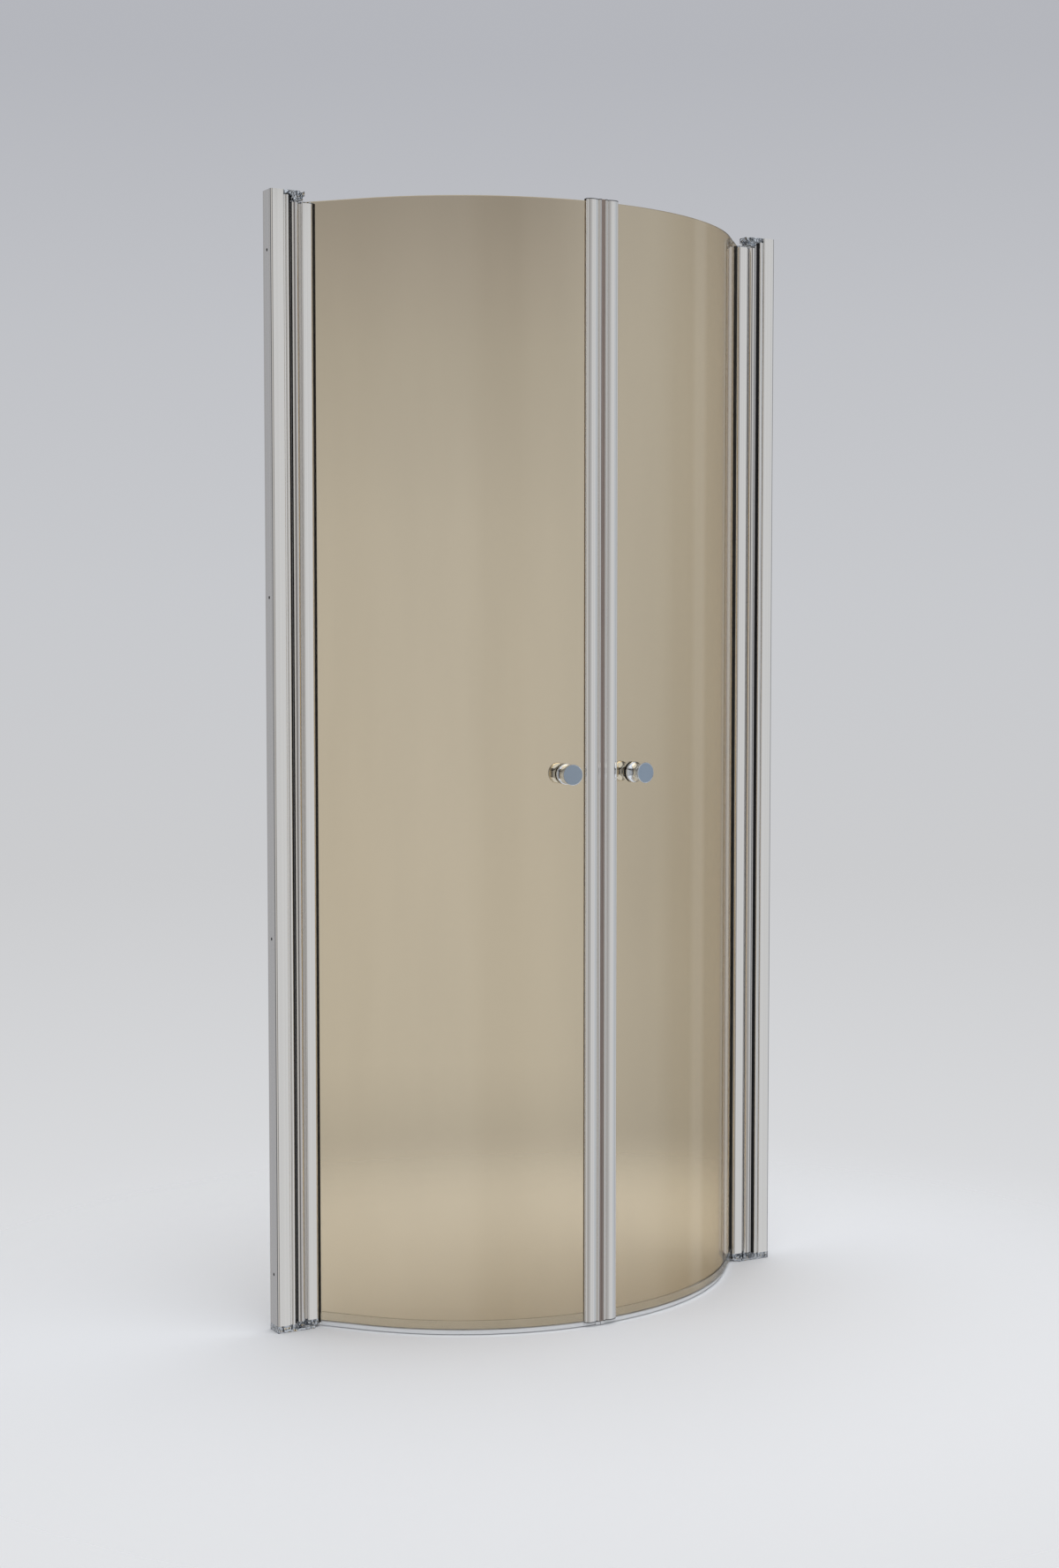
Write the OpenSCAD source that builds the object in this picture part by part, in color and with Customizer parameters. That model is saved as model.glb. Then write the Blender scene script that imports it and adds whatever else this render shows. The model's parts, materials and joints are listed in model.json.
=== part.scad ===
// Bowed double shower door for a niche: two curved glass leaves on pivot profiles
// Front is -Y and up is +Z; the origin is the bottom centre of the whole part

/* [Overall] */
// Width of the niche between its two wall faces
niche_w = 1026; // [980:1:1200]
// Height of the frame from the floor to its top
frame_h = 1950; // [1700:5:2100]
// Outer radius of the bowed glass
bow_r = 500; // [480:1:510]
// Half of the angle that the bow covers
bow_a = 48.5; // [46:0.1:50]
// Depth of the wall profiles, front to back
frame_d = 36; // [32:0.5:42]

/* [Glass] */
// Glass thickness
glass_t = 6; // [5:0.5:8]
// Height of the bottom edge of the glass above the floor
glass_z0 = 10; // [8:0.5:14]
// Drop from the frame top to the top edge of the glass
glass_drop = 13.5; // [13.5:0.5:22]
// Depth of glass held in the pivot profile
glass_in = 13; // [9:0.5:14]
// Distance of each glass edge from the middle of the door
glass_end = 14; // [13.6:0.1:16]

/* [Wall profile] */
// Width of the wall profile seen from the front
wall_w = 24.4; // [22:0.1:26]
// Wall thickness of the fixed extrusions
wall_t = 2; // [1.5:0.1:2.4]
// Radius of the wall screw holes
wall_hole_r = 2.75; // [2:0.05:3.2]
// Height of the lowest and the distance down to the highest wall screw hole
wall_hole_end = 100; // [60:5:200]
// Radius of the front edge that meets the wall
wall_edge_r = 3.5; // [2.4:0.1:4]
// Corner radius of the extrusions
corner_r = 2; // [0.8:0.1:2.4]

/* [Fixed post] */
// Distance from the wall to the face of the post
post_u = 33; // [31:0.1:33.2]
// Thickness of the post head
post_head = 7; // [5:0.1:7.2]
// Distance from the wall to the hidden end of the post
post_in = 6; // [4:0.5:8]
// Radius of the self-tapping screw ports
port_r = 1.65; // [1.4:0.05:1.9]

/* [Pivot] */
// Distance from the wall to the pivot axis
pivot_u = 46; // [45:0.1:47.5]
// Distance of the pivot axis behind the frame front
pivot_w = 9.5; // [9:0.1:11]
// Outer radius of the pivot tube
tube_r = 8; // [7.5:0.1:8.4]
// Radius of the pivot pins
pin_r = 3; // [2.5:0.1:3.4]
// Running clearance between pin and bush
run_gap = 0.05; // [0.02:0.01:0.09]
// Outer radius of the pivot bushes
bush_r = 5; // [4.6:0.1:5.6]
// Length of a bush inside the tube
bush_len = 24; // [15:1:40]
// Height of the chrome foot blocks
foot_h = 12; // [10:0.5:13]
// Width of the chrome foot blocks from the wall
foot_w = 70; // [60:0.5:71]
// Thickness of the low plate of the foot blocks
foot_plate = 4; // [3:0.1:4.6]
// Distance from the wall to the end of the top bracket
lobe_u = 63; // [58:0.5:66]
// Thickness of the top bracket plate
plate_t = 8; // [6:0.5:9]

/* [Pivot profile] */
// Distance from the wall to the visible glass edge
hinge_u = 81.5; // [81:0.1:84]
// Distance of that edge behind the frame front
glass_back = 9.8; // [9:0.1:11]
// Distance from the wall to the front face of the profile
wing_u = 57.6; // [57:0.1:58.5]
// Setback of the front face
wing_set = 4; // [3:0.1:5]
// Thickness of the rubber on each side of the glass
rubber_t = 1.5; // [1:0.1:2]
// Clearance of soft pieces on the glass and in their slots
soft_gap = 0.02; // [0.01:0.005:0.05]
// Wall thickness of the pivot profile
wing_t = 2; // [1.5:0.1:2.2]

/* [Closing profile] */
// Half of the gap between the two closing profiles
close_gap = 3.5; // [3:0.1:4.5]
// Half-width from the middle to the outer edge of a closing profile
close_w = 31; // [28:0.5:34]
// Height of the closing profile face above the glass
close_h = 5.5; // [4.5:0.1:7]
// Clearance of each magnet strip from the middle plane
magnet_gap = 0.15; // [0.1:0.05:1]
// Rise of the closing profile above the glass
close_rise = 2.5; // [1:0.5:5]

/* [Knobs] */
// Distance of each knob from the middle of the door
knob_off = 68; // [60:1:100]
// Height of the knob centres
knob_z = 966; // [800:1:1100]
// Radius of the knob base
knob_r = 18; // [15:0.5:20]
// Radius of the knob waist
waist_r = 13; // [9:0.5:14]
// Width of the bright rim round the face of a knob
knob_rim = 1.3; // [1.1:0.1:3]
// Length of each knob
knob_len = 32.5; // [30:0.5:36]
// Radius of the stud through the glass
stud_r = 3; // [2.5:0.1:3.5]

/* [Bottom seal] */
// Height of the clip legs above the glass edge
seal_leg = 15; // [8:0.5:20]
// Wall thickness of the clip
seal_t = 1.2; // [0.8:0.1:1.5]
// Height of the wiper tip above the floor
seal_tip = 1; // [0.6:0.1:2]

/* [Fixings] */
// Height of the lowest adjusting screw
adjust_z = 150; // [100:10:300]
// Height of the head of an adjusting screw
head_h = 2.2; // [1.6:0.1:3]
// Radius of that head
head_r = 3.6; // [3:0.1:4]

/* [Hidden] */
$fn = 96;
bow_fn = 256;
eps = 0.02;
// flat length of glass between the bow and its visible edge
flat_len = (niche_w / 2 - hinge_u - bow_r * sin(bow_a)) / cos(bow_a);
// distances from the bow centre, measured towards the front
edge_d = bow_r * cos(bow_a) - flat_len * sin(bow_a);
front_d = edge_d + glass_back;
back_d = front_d - frame_d - head_h;
knob_a = asin(knob_off / bow_r);
washer_t = 1.2;
knob_tip = bow_r + washer_t + knob_len;
tip_d = knob_tip * cos(knob_a) + (knob_r - 0.7) * sin(knob_a);
// model position of the bow centre and of the frame front
bow_y = (tip_d + back_d) / 2;
face_y = bow_y - front_d;
glass_z1 = frame_h - glass_drop;
// heights of the pivot profile, its caps and the post
cap_t = 2;
cap_z0 = foot_plate + 0.8;
wing_z0 = foot_h + 3;
wing_z1 = glass_z1 - 5.5;
post_z1 = frame_h - plate_t;
boss_z0 = post_z1 - 7.5;
// glass channel of the pivot profile
slot_in = glass_in + 1;
slot_back = slot_in + wing_t;
inner_t = glass_t + rubber_t;
// screw port position in the post
port_u = post_in + 7;
port_w = 9.5;
port_wall = 1.75;
adjust_u = post_in + 14.5;
close_z0 = glass_z0 - 1;
close_z1 = glass_z1 + close_rise;
close_cap = 1.5;
tape_t = 0.6;
wall_fillet = wall_edge_r - 0.6;
wall_inner = (frame_h - 2 * wall_hole_end) / 3;

// point in the section of the left side: s along the glass from its visible edge, t outwards
function gp(s, t) = [
  hinge_u + s * cos(bow_a) - t * sin(bow_a),
  glass_back - s * sin(bow_a) - t * cos(bow_a)
];

// places a section whose x is the distance from the wall and y the depth behind the front
module section() {
  translate([-niche_w / 2, face_y, 0]) children();
}

// places a shape drawn about the bow centre
module bow() {
  translate([0, bow_y, 0]) children();
}

// left pieces are drawn, right pieces are their mirror image
module right_side() {
  mirror([1, 0, 0]) children();
}

// rectangle with four round corners
module round_rect(x0, y0, x1, y1, r) {
  translate([x0 + r, y0]) square([x1 - x0 - 2 * r, y1 - y0]);
  translate([x0, y0 + r]) square([x1 - x0, y1 - y0 - 2 * r]);
  for (x = [x0 + r, x1 - r]) {
    for (y = [y0 + r, y1 - r]) {
      translate([x, y]) circle(r);
    }
  }
}

// what is cut away to round a square corner at the origin that opens to +x +y
module corner(r) {
  difference() {
    translate([-1, -1]) square(r + 1);
    translate([r, r]) circle(r);
  }
}

// plan of a leaf between two radii, from s0 in the flat to x = -x_end at the middle
module leaf_plan(r0, r1, s0, x_end) {
  rotate(180 - bow_a) translate([0, r0]) square([flat_len + s0, r1 - r0]);
  intersection() {
    difference() {
      circle(r1, $fn = bow_fn);
      circle(r0, $fn = bow_fn);
    }
    polygon([
      [-0.5 * bow_r * sin(bow_a), -0.5 * bow_r * cos(bow_a)],
      [-1.5 * bow_r * sin(bow_a), -1.5 * bow_r * cos(bow_a)],
      [-x_end, -1.5 * bow_r],
      [-x_end, -0.5 * bow_r * cos(bow_a)]
    ]);
  }
}

// U-shaped aluminium channel screwed to the wall
module wall_profile_plan() {
  difference() {
    round_rect(0, 0, wall_w, frame_d, corner_r);
    corner(wall_edge_r);
    difference() {
      translate([wall_t, wall_t]) square([wall_w, frame_d - 2 * wall_t]);
      translate([wall_t, wall_t]) corner(wall_fillet);
      translate([wall_t, frame_d - wall_t]) mirror([0, 1, 0]) corner(wall_fillet);
    }
    // shallow centring groove for the drill
    polygon([
      [wall_t + 0.01, frame_d / 2 - 1],
      [wall_t - 0.6, frame_d / 2],
      [wall_t + 0.01, frame_d / 2 + 1]
    ]);
    // grooves on the back for the silicone bead
    for (w = [7, frame_d - 7]) {
      translate([0, w]) circle(0.6, $fn = 24);
    }
  }
}

module wall_profile() {
  color([0.80, 0.81, 0.83])
  section()
  difference() {
    translate([0, 0, foot_h]) linear_extrude(frame_h - foot_h) wall_profile_plan();
    for (i = [0:3]) {
      translate([-1, frame_d / 2, wall_hole_end + i * wall_inner])
        rotate([0, 90, 0]) cylinder(r = wall_hole_r, h = wall_t + 3);
    }
    // slots for the adjusting screws
    for (z = adjust_heights()) {
      for (du = [-2, 2]) {
        translate([adjust_u + du - 0.5, frame_d + 1, z])
          rotate([90, 0, 0]) cylinder(r = 2.1, h = wall_t + 2, $fn = 32);
      }
      translate([adjust_u - 2.5, frame_d - wall_t - 1, z - 2.1]) cube([4, wall_t + 2, 4.2]);
    }
  }
}

function adjust_heights() = [adjust_z, frame_h / 2, frame_h - adjust_z];

// box section that slides in the wall profile, with a head that fills its mouth
module post_plan() {
  g = wall_t + 0.35;
  difference() {
    union() {
      round_rect(post_in, g, post_u - 1, frame_d - g, 1);
      round_rect(post_u - post_head + 1.2, 0, post_u, frame_d, corner_r);
    }
    difference() {
      translate([post_in + wall_t, g + wall_t])
        square([post_u - post_head - post_in - wall_t - 0.6, frame_d - 2 * g - 2 * wall_t]);
      for (w = [port_w, frame_d - port_w]) {
        translate([port_u, w]) circle(port_r + port_wall, $fn = 48);
        translate([port_u - 1, w < frame_d / 2 ? g : w]) square([2, port_w - g]);
      }
    }
    for (w = [port_w, frame_d - port_w]) {
      translate([port_u, w]) circle(port_r, $fn = 48);
    }
    // groove that holds the black seal
    translate([post_u - 3, seal_w - 1.3]) square([4, 2.6]);
    translate([post_u - 3, seal_w - 2.3]) square([1.6, 4.6]);
  }
}
seal_w = 4.6;

module post_profile() {
  color([0.80, 0.81, 0.83])
  section()
  difference() {
    translate([0, 0, foot_h]) linear_extrude(post_z1 - foot_h) post_plan();
    for (z = adjust_heights()) {
      translate([adjust_u, frame_d + 1, z])
        rotate([90, 0, 0]) cylinder(r = 1.8, h = 8, $fn = 32);
    }
  }
}

// plug that closes the top of the wall profile
module top_cap() {
  g = wall_t + 0.1;
  color([0.70, 0.71, 0.73])
  section()
  difference() {
    translate([0, 0, post_z1 + 2.6]) linear_extrude(plate_t - 2.6) difference() {
      translate([g, g]) square([wall_w - 0.1 - g, frame_d - 2 * g]);
      translate([g, g]) corner(wall_fillet - 0.1);
      translate([g, frame_d - g]) mirror([0, 1, 0]) corner(wall_fillet - 0.1);
    }
    translate([g + 1.5, g + 1.5, post_z1 + 2.5])
      cube([wall_w - 2 * g - 1.4, frame_d - 2 * g - 3, plate_t - 4.2]);
  }
}

// black bulb seal between post and pivot tube
module gap_seal() {
  color([0.04, 0.04, 0.04])
  section()
  translate([0, 0, foot_h + 1]) linear_extrude(post_z1 - foot_h - 2)
  difference() {
    union() {
      round_rect(post_u, 1, post_u + 4.6, 8.4, 1.6);
      translate([post_u, 1.6]) square([1.4, 6.2]);
      translate([post_u - 2.9, seal_w - 1.2]) square([3.4, 2.4]);
      translate([post_u - 2.9, seal_w - 2.2]) square([1.4, 4.4]);
    }
    translate([post_u + 2.4, 4.7]) circle(1.1, $fn = 32);
  }
}

// chrome bracket: bar over the gap, round boss on the pivot axis and a scooped lobe beside it
module top_bracket() {
  g = wall_t + 0.35 + wall_t + 0.2;
  lobe_z0 = boss_z0 + 1;
  color([0.75, 0.77, 0.80])
  section()
  difference() {
    union() {
      // bar from the post head to the boss
      translate([0, 0, post_z1]) linear_extrude(plate_t) difference() {
        round_rect(wall_w + 0.4, 0.8, lobe_u, frame_d - 0.8, 2.4);
        translate([lobe_u, frame_d - 0.8]) mirror([1, 0, 0]) mirror([0, 1, 0]) corner(15);
      }
      // boss as wide as the pivot tube
      translate([pivot_u, pivot_w, boss_z0]) cylinder(r = tube_r, h = frame_h - boss_z0);
      // lobe over the neck of the pivot profile
      translate([0, 0, lobe_z0]) linear_extrude(post_z1 - lobe_z0 + 1)
        round_rect(pivot_u + 2, pivot_w - 5, lobe_u - 1.5, pivot_w + 11, 2.4);
      // tongue and spigot inside the post
      translate([post_in + 2, g + 1, post_z1]) cube([24, frame_d - 2 * g - 2, 2.4]);
      translate([adjust_u - 2.8, g + 2.2, post_z1 - 18]) cube([5.4, frame_d - 2 * g - 4.4, 18.5]);
    }
    // bore of the pin
    translate([pivot_u, pivot_w, boss_z0 - 1]) cylinder(r = pin_r + 0.02, h = 11, $fn = 64);
    // groove between boss and lobe, and the scoops in the lobe
    translate([pivot_u + tube_r + 1.4, pivot_w - 9, lobe_z0 - 1]) cylinder(r = 2.2, h = 30, $fn = 48);
    translate([lobe_u - 4.6, 0, frame_h + 1.5]) rotate([-90, 0, 0]) cylinder(r = 4.6, h = 14);
    translate([lobe_u, 0, lobe_z0 + 3]) rotate([-90, 0, 0]) cylinder(r = 3, h = frame_d);
    // step in the front of the bar
    translate([wall_w - 1, 0, post_z1 - 1]) cube([pivot_u - tube_r - wall_w - 1.5, 3, 3.2]);
    for (w = [port_w, frame_d - port_w]) {
      translate([port_u, w, post_z1 - 1]) cylinder(r = 1.8, h = 6, $fn = 32);
    }
  }
}

// chrome foot: block under the fixed profiles and a low plate with a round boss for the pivot
module foot_block() {
  g = wall_t + 0.35 + wall_t + 0.2;
  color([0.75, 0.77, 0.80])
  section()
  difference() {
    union() {
      // block under wall profile and post
      linear_extrude(foot_h) round_rect(0, 0, post_u, frame_d, 2.4);
      translate([0, 1.5, 0]) cube([4, frame_d - 3, foot_h]);
      // low plate that runs on under the moving profile
      linear_extrude(foot_plate) difference() {
        round_rect(post_u - 6, 0, foot_w, frame_d, 3);
        translate([foot_w, frame_d]) mirror([1, 0, 0]) mirror([0, 1, 0]) corner(14);
      }
      // thrust boss of the pivot
      translate([pivot_u, pivot_w, 0]) cylinder(r = tube_r, h = foot_h);
      translate([adjust_u - 2.8, g + 2.2, foot_h - 1]) cube([5.4, frame_d - 2 * g - 4.4, 19]);
    }
    translate([pivot_u, pivot_w, 3]) cylinder(r = pin_r + 0.02, h = 20, $fn = 64);
    // grooves that break the front into lumps
    translate([wall_w + 1.4, -0.6, foot_plate]) cylinder(r = 1.8, h = foot_h, $fn = 48);
    translate([wall_w + 1.4, frame_d + 0.6, foot_plate]) cylinder(r = 1.8, h = foot_h, $fn = 48);
    translate([9, -1.1, -1]) cylinder(r = 2, h = foot_h + 2, $fn = 48);
    translate([pivot_u + 15, -1.4, -1]) cylinder(r = 2.4, h = foot_h, $fn = 48);
    // screws from below
    for (w = [port_w, frame_d - port_w]) {
      translate([port_u, w, -1]) cylinder(r = 1.8, h = foot_h + 2, $fn = 32);
      translate([port_u, w, -eps]) cylinder(r1 = 3.6, r2 = 1.7, h = 2.2, $fn = 48);
    }
    // hollow underside
    translate([19, 6, -1]) cube([10, frame_d - 12, 8]);
    translate([56, 6, -1]) cube([7, frame_d - 18, 3.2]);
  }
}

// pins that are pressed into bracket and foot block and run in the bushes
module top_pin() {
  z0 = wing_z1 - bush_len + 4;
  color([0.35, 0.36, 0.38])
  section()
  translate([pivot_u, pivot_w, z0]) difference() {
    cylinder(r = pin_r, h = boss_z0 + 9.9 - z0, $fn = 64);
    pin_point();
  }
}

module bottom_pin() {
  z1 = wing_z0 + bush_len - 4;
  color([0.35, 0.36, 0.38])
  section()
  translate([pivot_u, pivot_w, z1]) mirror([0, 0, 1]) difference() {
    cylinder(r = pin_r, h = z1 - 3.1, $fn = 64);
    pin_point();
  }
}

// what is cut away to bevel the end of a pin at z = 0
module pin_point() {
  translate([0, 0, -1]) difference() {
    cylinder(r = pin_r + 1, h = 2, $fn = 64);
    cylinder(r1 = pin_r - 2, r2 = pin_r, h = 2, $fn = 64);
  }
}

// pan head with a cross recess, its axis along +z and its seat at z = 0
module pan_head(r, h) {
  difference() {
    intersection() {
      cylinder(r = r, h = h, $fn = 48);
      translate([0, 0, h - 2.2 * r]) sphere(r = 2.2 * r, $fn = 96);
    }
    for (a = [0, 90]) {
      rotate(a) translate([-r * 0.55, -0.4, h - 1.1]) cube([r * 1.1, 0.8, 2]);
    }
  }
}

// screws that fix the post in the wall profile, seen from inside the shower
module adjusting_screws_one_side() {
  section()
  for (z = adjust_heights()) {
    translate([adjust_u, frame_d, z]) rotate([-90, 0, 0]) {
      pan_head(head_r, head_h);
      translate([0, 0, -9]) cylinder(r = 1.75, h = 9.1, $fn = 32);
    }
  }
}

module adjusting_screws() {
  color([0.62, 0.63, 0.65]) {
    adjusting_screws_one_side();
    right_side() adjusting_screws_one_side();
  }
}

// screws that hold bracket and foot block in the screw ports of the post
module bracket_screws_one_side() {
  section()
  for (w = [port_w, frame_d - port_w]) {
    translate([port_u, w, post_z1 + 2.4]) {
      cylinder(r = 2.8, h = 1.6, $fn = 48);
      translate([0, 0, -22]) cylinder(r = port_r - 0.05, h = 22.1, $fn = 32);
    }
    translate([port_u, w, 0.1]) {
      cylinder(r1 = 3.4, r2 = 1.55, h = 2, $fn = 48);
      cylinder(r = port_r - 0.05, h = 32, $fn = 32);
    }
  }
}

module bracket_screws() {
  color([0.62, 0.63, 0.65]) {
    bracket_screws_one_side();
    right_side() bracket_screws_one_side();
  }
}

// outline of the pivot profile: tube, neck and wing with a round front edge
module pivot_outline() {
  difference() {
    polygon([
      [wing_u, wing_set],
      [hinge_u - 7.5, wing_set],
      gp(0, rubber_t + wing_t),
      gp(0, -inner_t - wing_t),
      gp(-slot_back, -inner_t - wing_t),
      [wing_u, back_edge()]
    ]);
    translate([wing_u, wing_set]) corner(2.2);
    translate([wing_u, back_edge()]) mirror([0, 1, 0]) corner(2);
  }
  translate([hinge_u - 7.5, wing_set + 5]) circle(5);
  translate([pivot_u, pivot_w]) circle(tube_r);
  polygon([
    [pivot_u, pivot_w + 2.5],
    [wing_u + 0.5, pivot_w + 2.5],
    [wing_u + 0.5, pivot_w + 13],
    [pivot_u, pivot_w + tube_r - 0.1]
  ]);
}

module pivot_slot() {
  polygon([
    gp(-slot_in, rubber_t),
    gp(9, rubber_t),
    gp(9, -inner_t),
    gp(-slot_in, -inner_t)
  ]);
}

// depth of the back face of the pivot profile
function back_edge() = gp(-slot_back, -inner_t - wing_t)[1];

module pivot_plan() {
  back_w = back_edge();
  difference() {
    pivot_outline();
    pivot_slot();
    // fine decorative lines along the front of the tube
    for (a = [-30, 3]) {
      translate([pivot_u, pivot_w]) rotate(a) translate([0, -tube_r - 0.1]) circle(0.55, $fn = 24);
    }
    translate([pivot_u, pivot_w]) circle(bush_r + 0.02, $fn = 64);
    // hollow chamber with a screw port for the end caps
    difference() {
      polygon([
        [wing_u + wing_t, wing_set + wing_t],
        [hinge_u - 7.5, wing_set + wing_t],
        gp(-3.2, rubber_t + wing_t),
        gp(-slot_back, rubber_t + wing_t),
        gp(-slot_back, -inner_t + 0.4),
        [gp(-slot_back, -inner_t)[0] - 1.2, back_w - wing_t],
        [wing_u + wing_t, back_w - wing_t]
      ]);
      translate([wing_u + wing_t + 2.6, back_w - wing_t - 2.6]) circle(3.2, $fn = 48);
    }
    translate([wing_u + wing_t + 2.6, back_w - wing_t - 2.6]) circle(1.5, $fn = 48);
  }
}

module pivot_profile() {
  color([0.80, 0.81, 0.83])
  section()
  translate([0, 0, wing_z0]) linear_extrude(wing_z1 - wing_z0) pivot_plan();
}

// flanged plastic bush, its flange at z = 0 and its sleeve upwards
module bush(flange) {
  difference() {
    union() {
      cylinder(r = bush_r, h = flange + bush_len, $fn = 64);
      cylinder(r = tube_r - 1, h = flange, $fn = 64);
    }
    translate([0, 0, -1]) cylinder(r = pin_r + run_gap, h = flange + bush_len + 2, $fn = 64);
  }
}

module pivot_bushes() {
  color([0.88, 0.88, 0.86])
  section() {
    translate([pivot_u, pivot_w, foot_h + 0.3]) bush(wing_z0 - foot_h - 0.3);
    translate([pivot_u, pivot_w, wing_z1 + cap_t + 0.4]) mirror([0, 0, 1]) bush(cap_t + 0.4);
  }
}

// plan of an end cap; the tube part stops short where the deep lower cap passes the thrust boss
module pivot_cap_plan(hole_r) {
  difference() {
    pivot_outline();
    pivot_slot();
    translate([pivot_u, pivot_w]) circle(hole_r, $fn = 64);
  }
}

// chrome end caps of the pivot profile, the lower one a deep shoe round the foot of the wing
module pivot_caps() {
  plug = [wing_u + wing_t + 2.6, back_edge() - wing_t - 2.6];
  color([0.75, 0.77, 0.80])
  section() {
    difference() {
      union() {
        translate([0, 0, wing_z0 - cap_t]) linear_extrude(cap_t) pivot_cap_plan(tube_r - 0.9);
        translate([0, 0, cap_z0]) linear_extrude(wing_z0 - cap_z0) pivot_cap_plan(tube_r + 0.5);
      }
      // wide grooves in the front of the shoe
      translate([wing_u + 6.5, wing_set - 0.9, cap_z0 - 1]) cylinder(r = 1.6, h = 7, $fn = 48);
      translate([wing_u + 12.5, wing_set - 0.9, cap_z0 + 4]) cylinder(r = 1.6, h = 20, $fn = 48);
      translate([wing_u - 3.4, pivot_w + 1.4, cap_z0 - 1]) cylinder(r = 1.5, h = 7, $fn = 48);
    }
    translate([0, 0, wing_z1]) linear_extrude(cap_t) pivot_cap_plan(tube_r - 0.9);
    for (z = [wing_z0 - eps, wing_z1 - 10]) {
      translate([plug[0], plug[1], z]) cylinder(r = 1.4, h = 10 + eps, $fn = 32);
    }
  }
}

// black rubber that holds the glass in the pivot profile
module glass_rubber() {
  color([0.08, 0.08, 0.09])
  section()
  translate([0, 0, cap_z0]) linear_extrude(wing_z1 + cap_t - cap_z0)
  polygon([
    gp(-slot_in + soft_gap, rubber_t - soft_gap),
    gp(soft_gap, rubber_t - soft_gap), gp(soft_gap, rubber_t + 1.7),
    gp(0.9, rubber_t + 1.5), gp(1.8, soft_gap),
    gp(-glass_in - soft_gap, soft_gap), gp(-glass_in - soft_gap, -glass_t - soft_gap),
    gp(1.8, -glass_t - soft_gap), gp(0.9, -inner_t - 1.5),
    gp(soft_gap, -inner_t - 1.7), gp(soft_gap, soft_gap - inner_t),
    gp(-slot_in + soft_gap, soft_gap - inner_t)
  ]);
}

// curved leaf of safety glass with one hole for the knobs
module door_glass() {
  color([0.45, 0.38, 0.33, 0.45])
  bow()
  difference() {
    translate([0, 0, glass_z0]) linear_extrude(glass_z1 - glass_z0)
      leaf_plan(bow_r - glass_t, bow_r, glass_in, glass_end);
    rotate(-knob_a) translate([0, -bow_r + 20, knob_z]) rotate([90, 0, 0]) cylinder(r = 7, h = 40);
  }
}

// clear clip seal: two legs on the glass, a wiper and a drip fin under it
module seal_section() {
  r1 = bow_r + 0.04;
  r0 = bow_r - glass_t - 0.04;
  z = glass_z0 - 0.05;
  polygon([
    [r1, z], [r1, glass_z0 + seal_leg], [r1 + 0.5, glass_z0 + seal_leg],
    [r1 + seal_t, glass_z0 + seal_leg - 1], [r1 + seal_t, z - seal_t], [r0 - seal_t, z - seal_t],
    [r0 - seal_t, glass_z0 + seal_leg - 1], [r0 - 0.5, glass_z0 + seal_leg],
    [r0, glass_z0 + seal_leg], [r0, z]
  ]);
  // wiper that almost touches the floor
  polygon([
    [bow_r - 2.2, z - seal_t + 0.1], [bow_r - 3.6, z - seal_t + 0.1],
    [bow_r - 3.9, seal_tip], [bow_r - 3.1, seal_tip]
  ]);
  // drip fin towards the inside
  polygon([
    [r0 - seal_t + 0.1, z], [r0 - seal_t + 0.1, z - seal_t],
    [r0 - seal_t - 5.2, seal_tip + 0.5], [r0 - seal_t - 5.8, seal_tip + 1.2]
  ]);
}

module bottom_seal() {
  close_a = asin((close_w + 1.5) / bow_r);
  color([0.85, 0.88, 0.90, 0.5])
  bow()
  rotate([0, 0, 270 - bow_a]) {
    rotate_extrude(angle = bow_a - close_a, $fn = bow_fn) seal_section();
    rotate([90, 0, 0]) linear_extrude(flat_len - 3) seal_section();
  }
}

// round face of a closing profile: chord from x0 to x1 on y = 0, bulging to y = -rise
module crown(x0, x1, rise) {
  half = (x1 - x0) / 2;
  r = (half * half + rise * rise) / (2 * rise);
  intersection() {
    translate([(x0 + x1) / 2, r - rise]) circle(r, $fn = 128);
    translate([x0, -rise - 1]) square([x1 - x0, rise + 1.5]);
  }
}

// section of a closing profile on the left of the middle, drawn about the bow centre
module closing_outline() {
  y_mid = -bow_r + glass_t / 2;
  half = glass_t / 2 + close_h;
  for (side = [0, 1]) {
    translate([0, y_mid]) mirror([0, side]) {
      difference() {
        union() {
          // wide crowned face and the block under it
          translate([-close_w + 3.5, -half + 1.6]) square([close_w - close_gap - 3.5, half - 1]);
          translate([0, -half + 1.6]) crown(-close_w + 3.5, -close_gap - 7, 1.6);
          // narrow round rib beside the magnet
          translate([-close_gap - 5, -half + 2]) square([5, half]);
          translate([-close_gap - 2.5, -half + 2]) circle(2.5, $fn = 64);
          // thin flange on the glass
          translate([-close_w, -glass_t / 2 - 2]) square([5, glass_t / 2 + 2]);
        }
        // groove between face and rib
        translate([-close_gap - 7, -half - 1]) square([2, 4]);
        translate([-close_w, -glass_t / 2 - 2]) corner(1.2);
      }
    }
  }
}

module closing_plan() {
  y_mid = -bow_r + glass_t / 2;
  difference() {
    closing_outline();
    leaf_slot();
    // chamber
    translate([-close_gap - 8, y_mid - 4.4]) square([2.6, 8.8]);
    // T groove for the magnet strip
    translate([-close_gap - 1.6, y_mid - 1.8]) square([3, 3.6]);
    translate([-close_gap - 3.8, y_mid - 3.4]) square([2.2, 6.8]);
  }
}

module leaf_slot() {
  intersection() {
    difference() {
      circle(bow_r + tape_t, $fn = bow_fn);
      circle(bow_r - glass_t - tape_t, $fn = bow_fn);
    }
    translate([-close_w - 9, -bow_r - 20]) square([close_w + 9 - glass_end + 0.5, 60]);
  }
}

module closing_profile() {
  color([0.80, 0.81, 0.83])
  bow()
  translate([0, 0, close_z0]) linear_extrude(close_z1 - close_z0) closing_plan();
}

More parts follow.
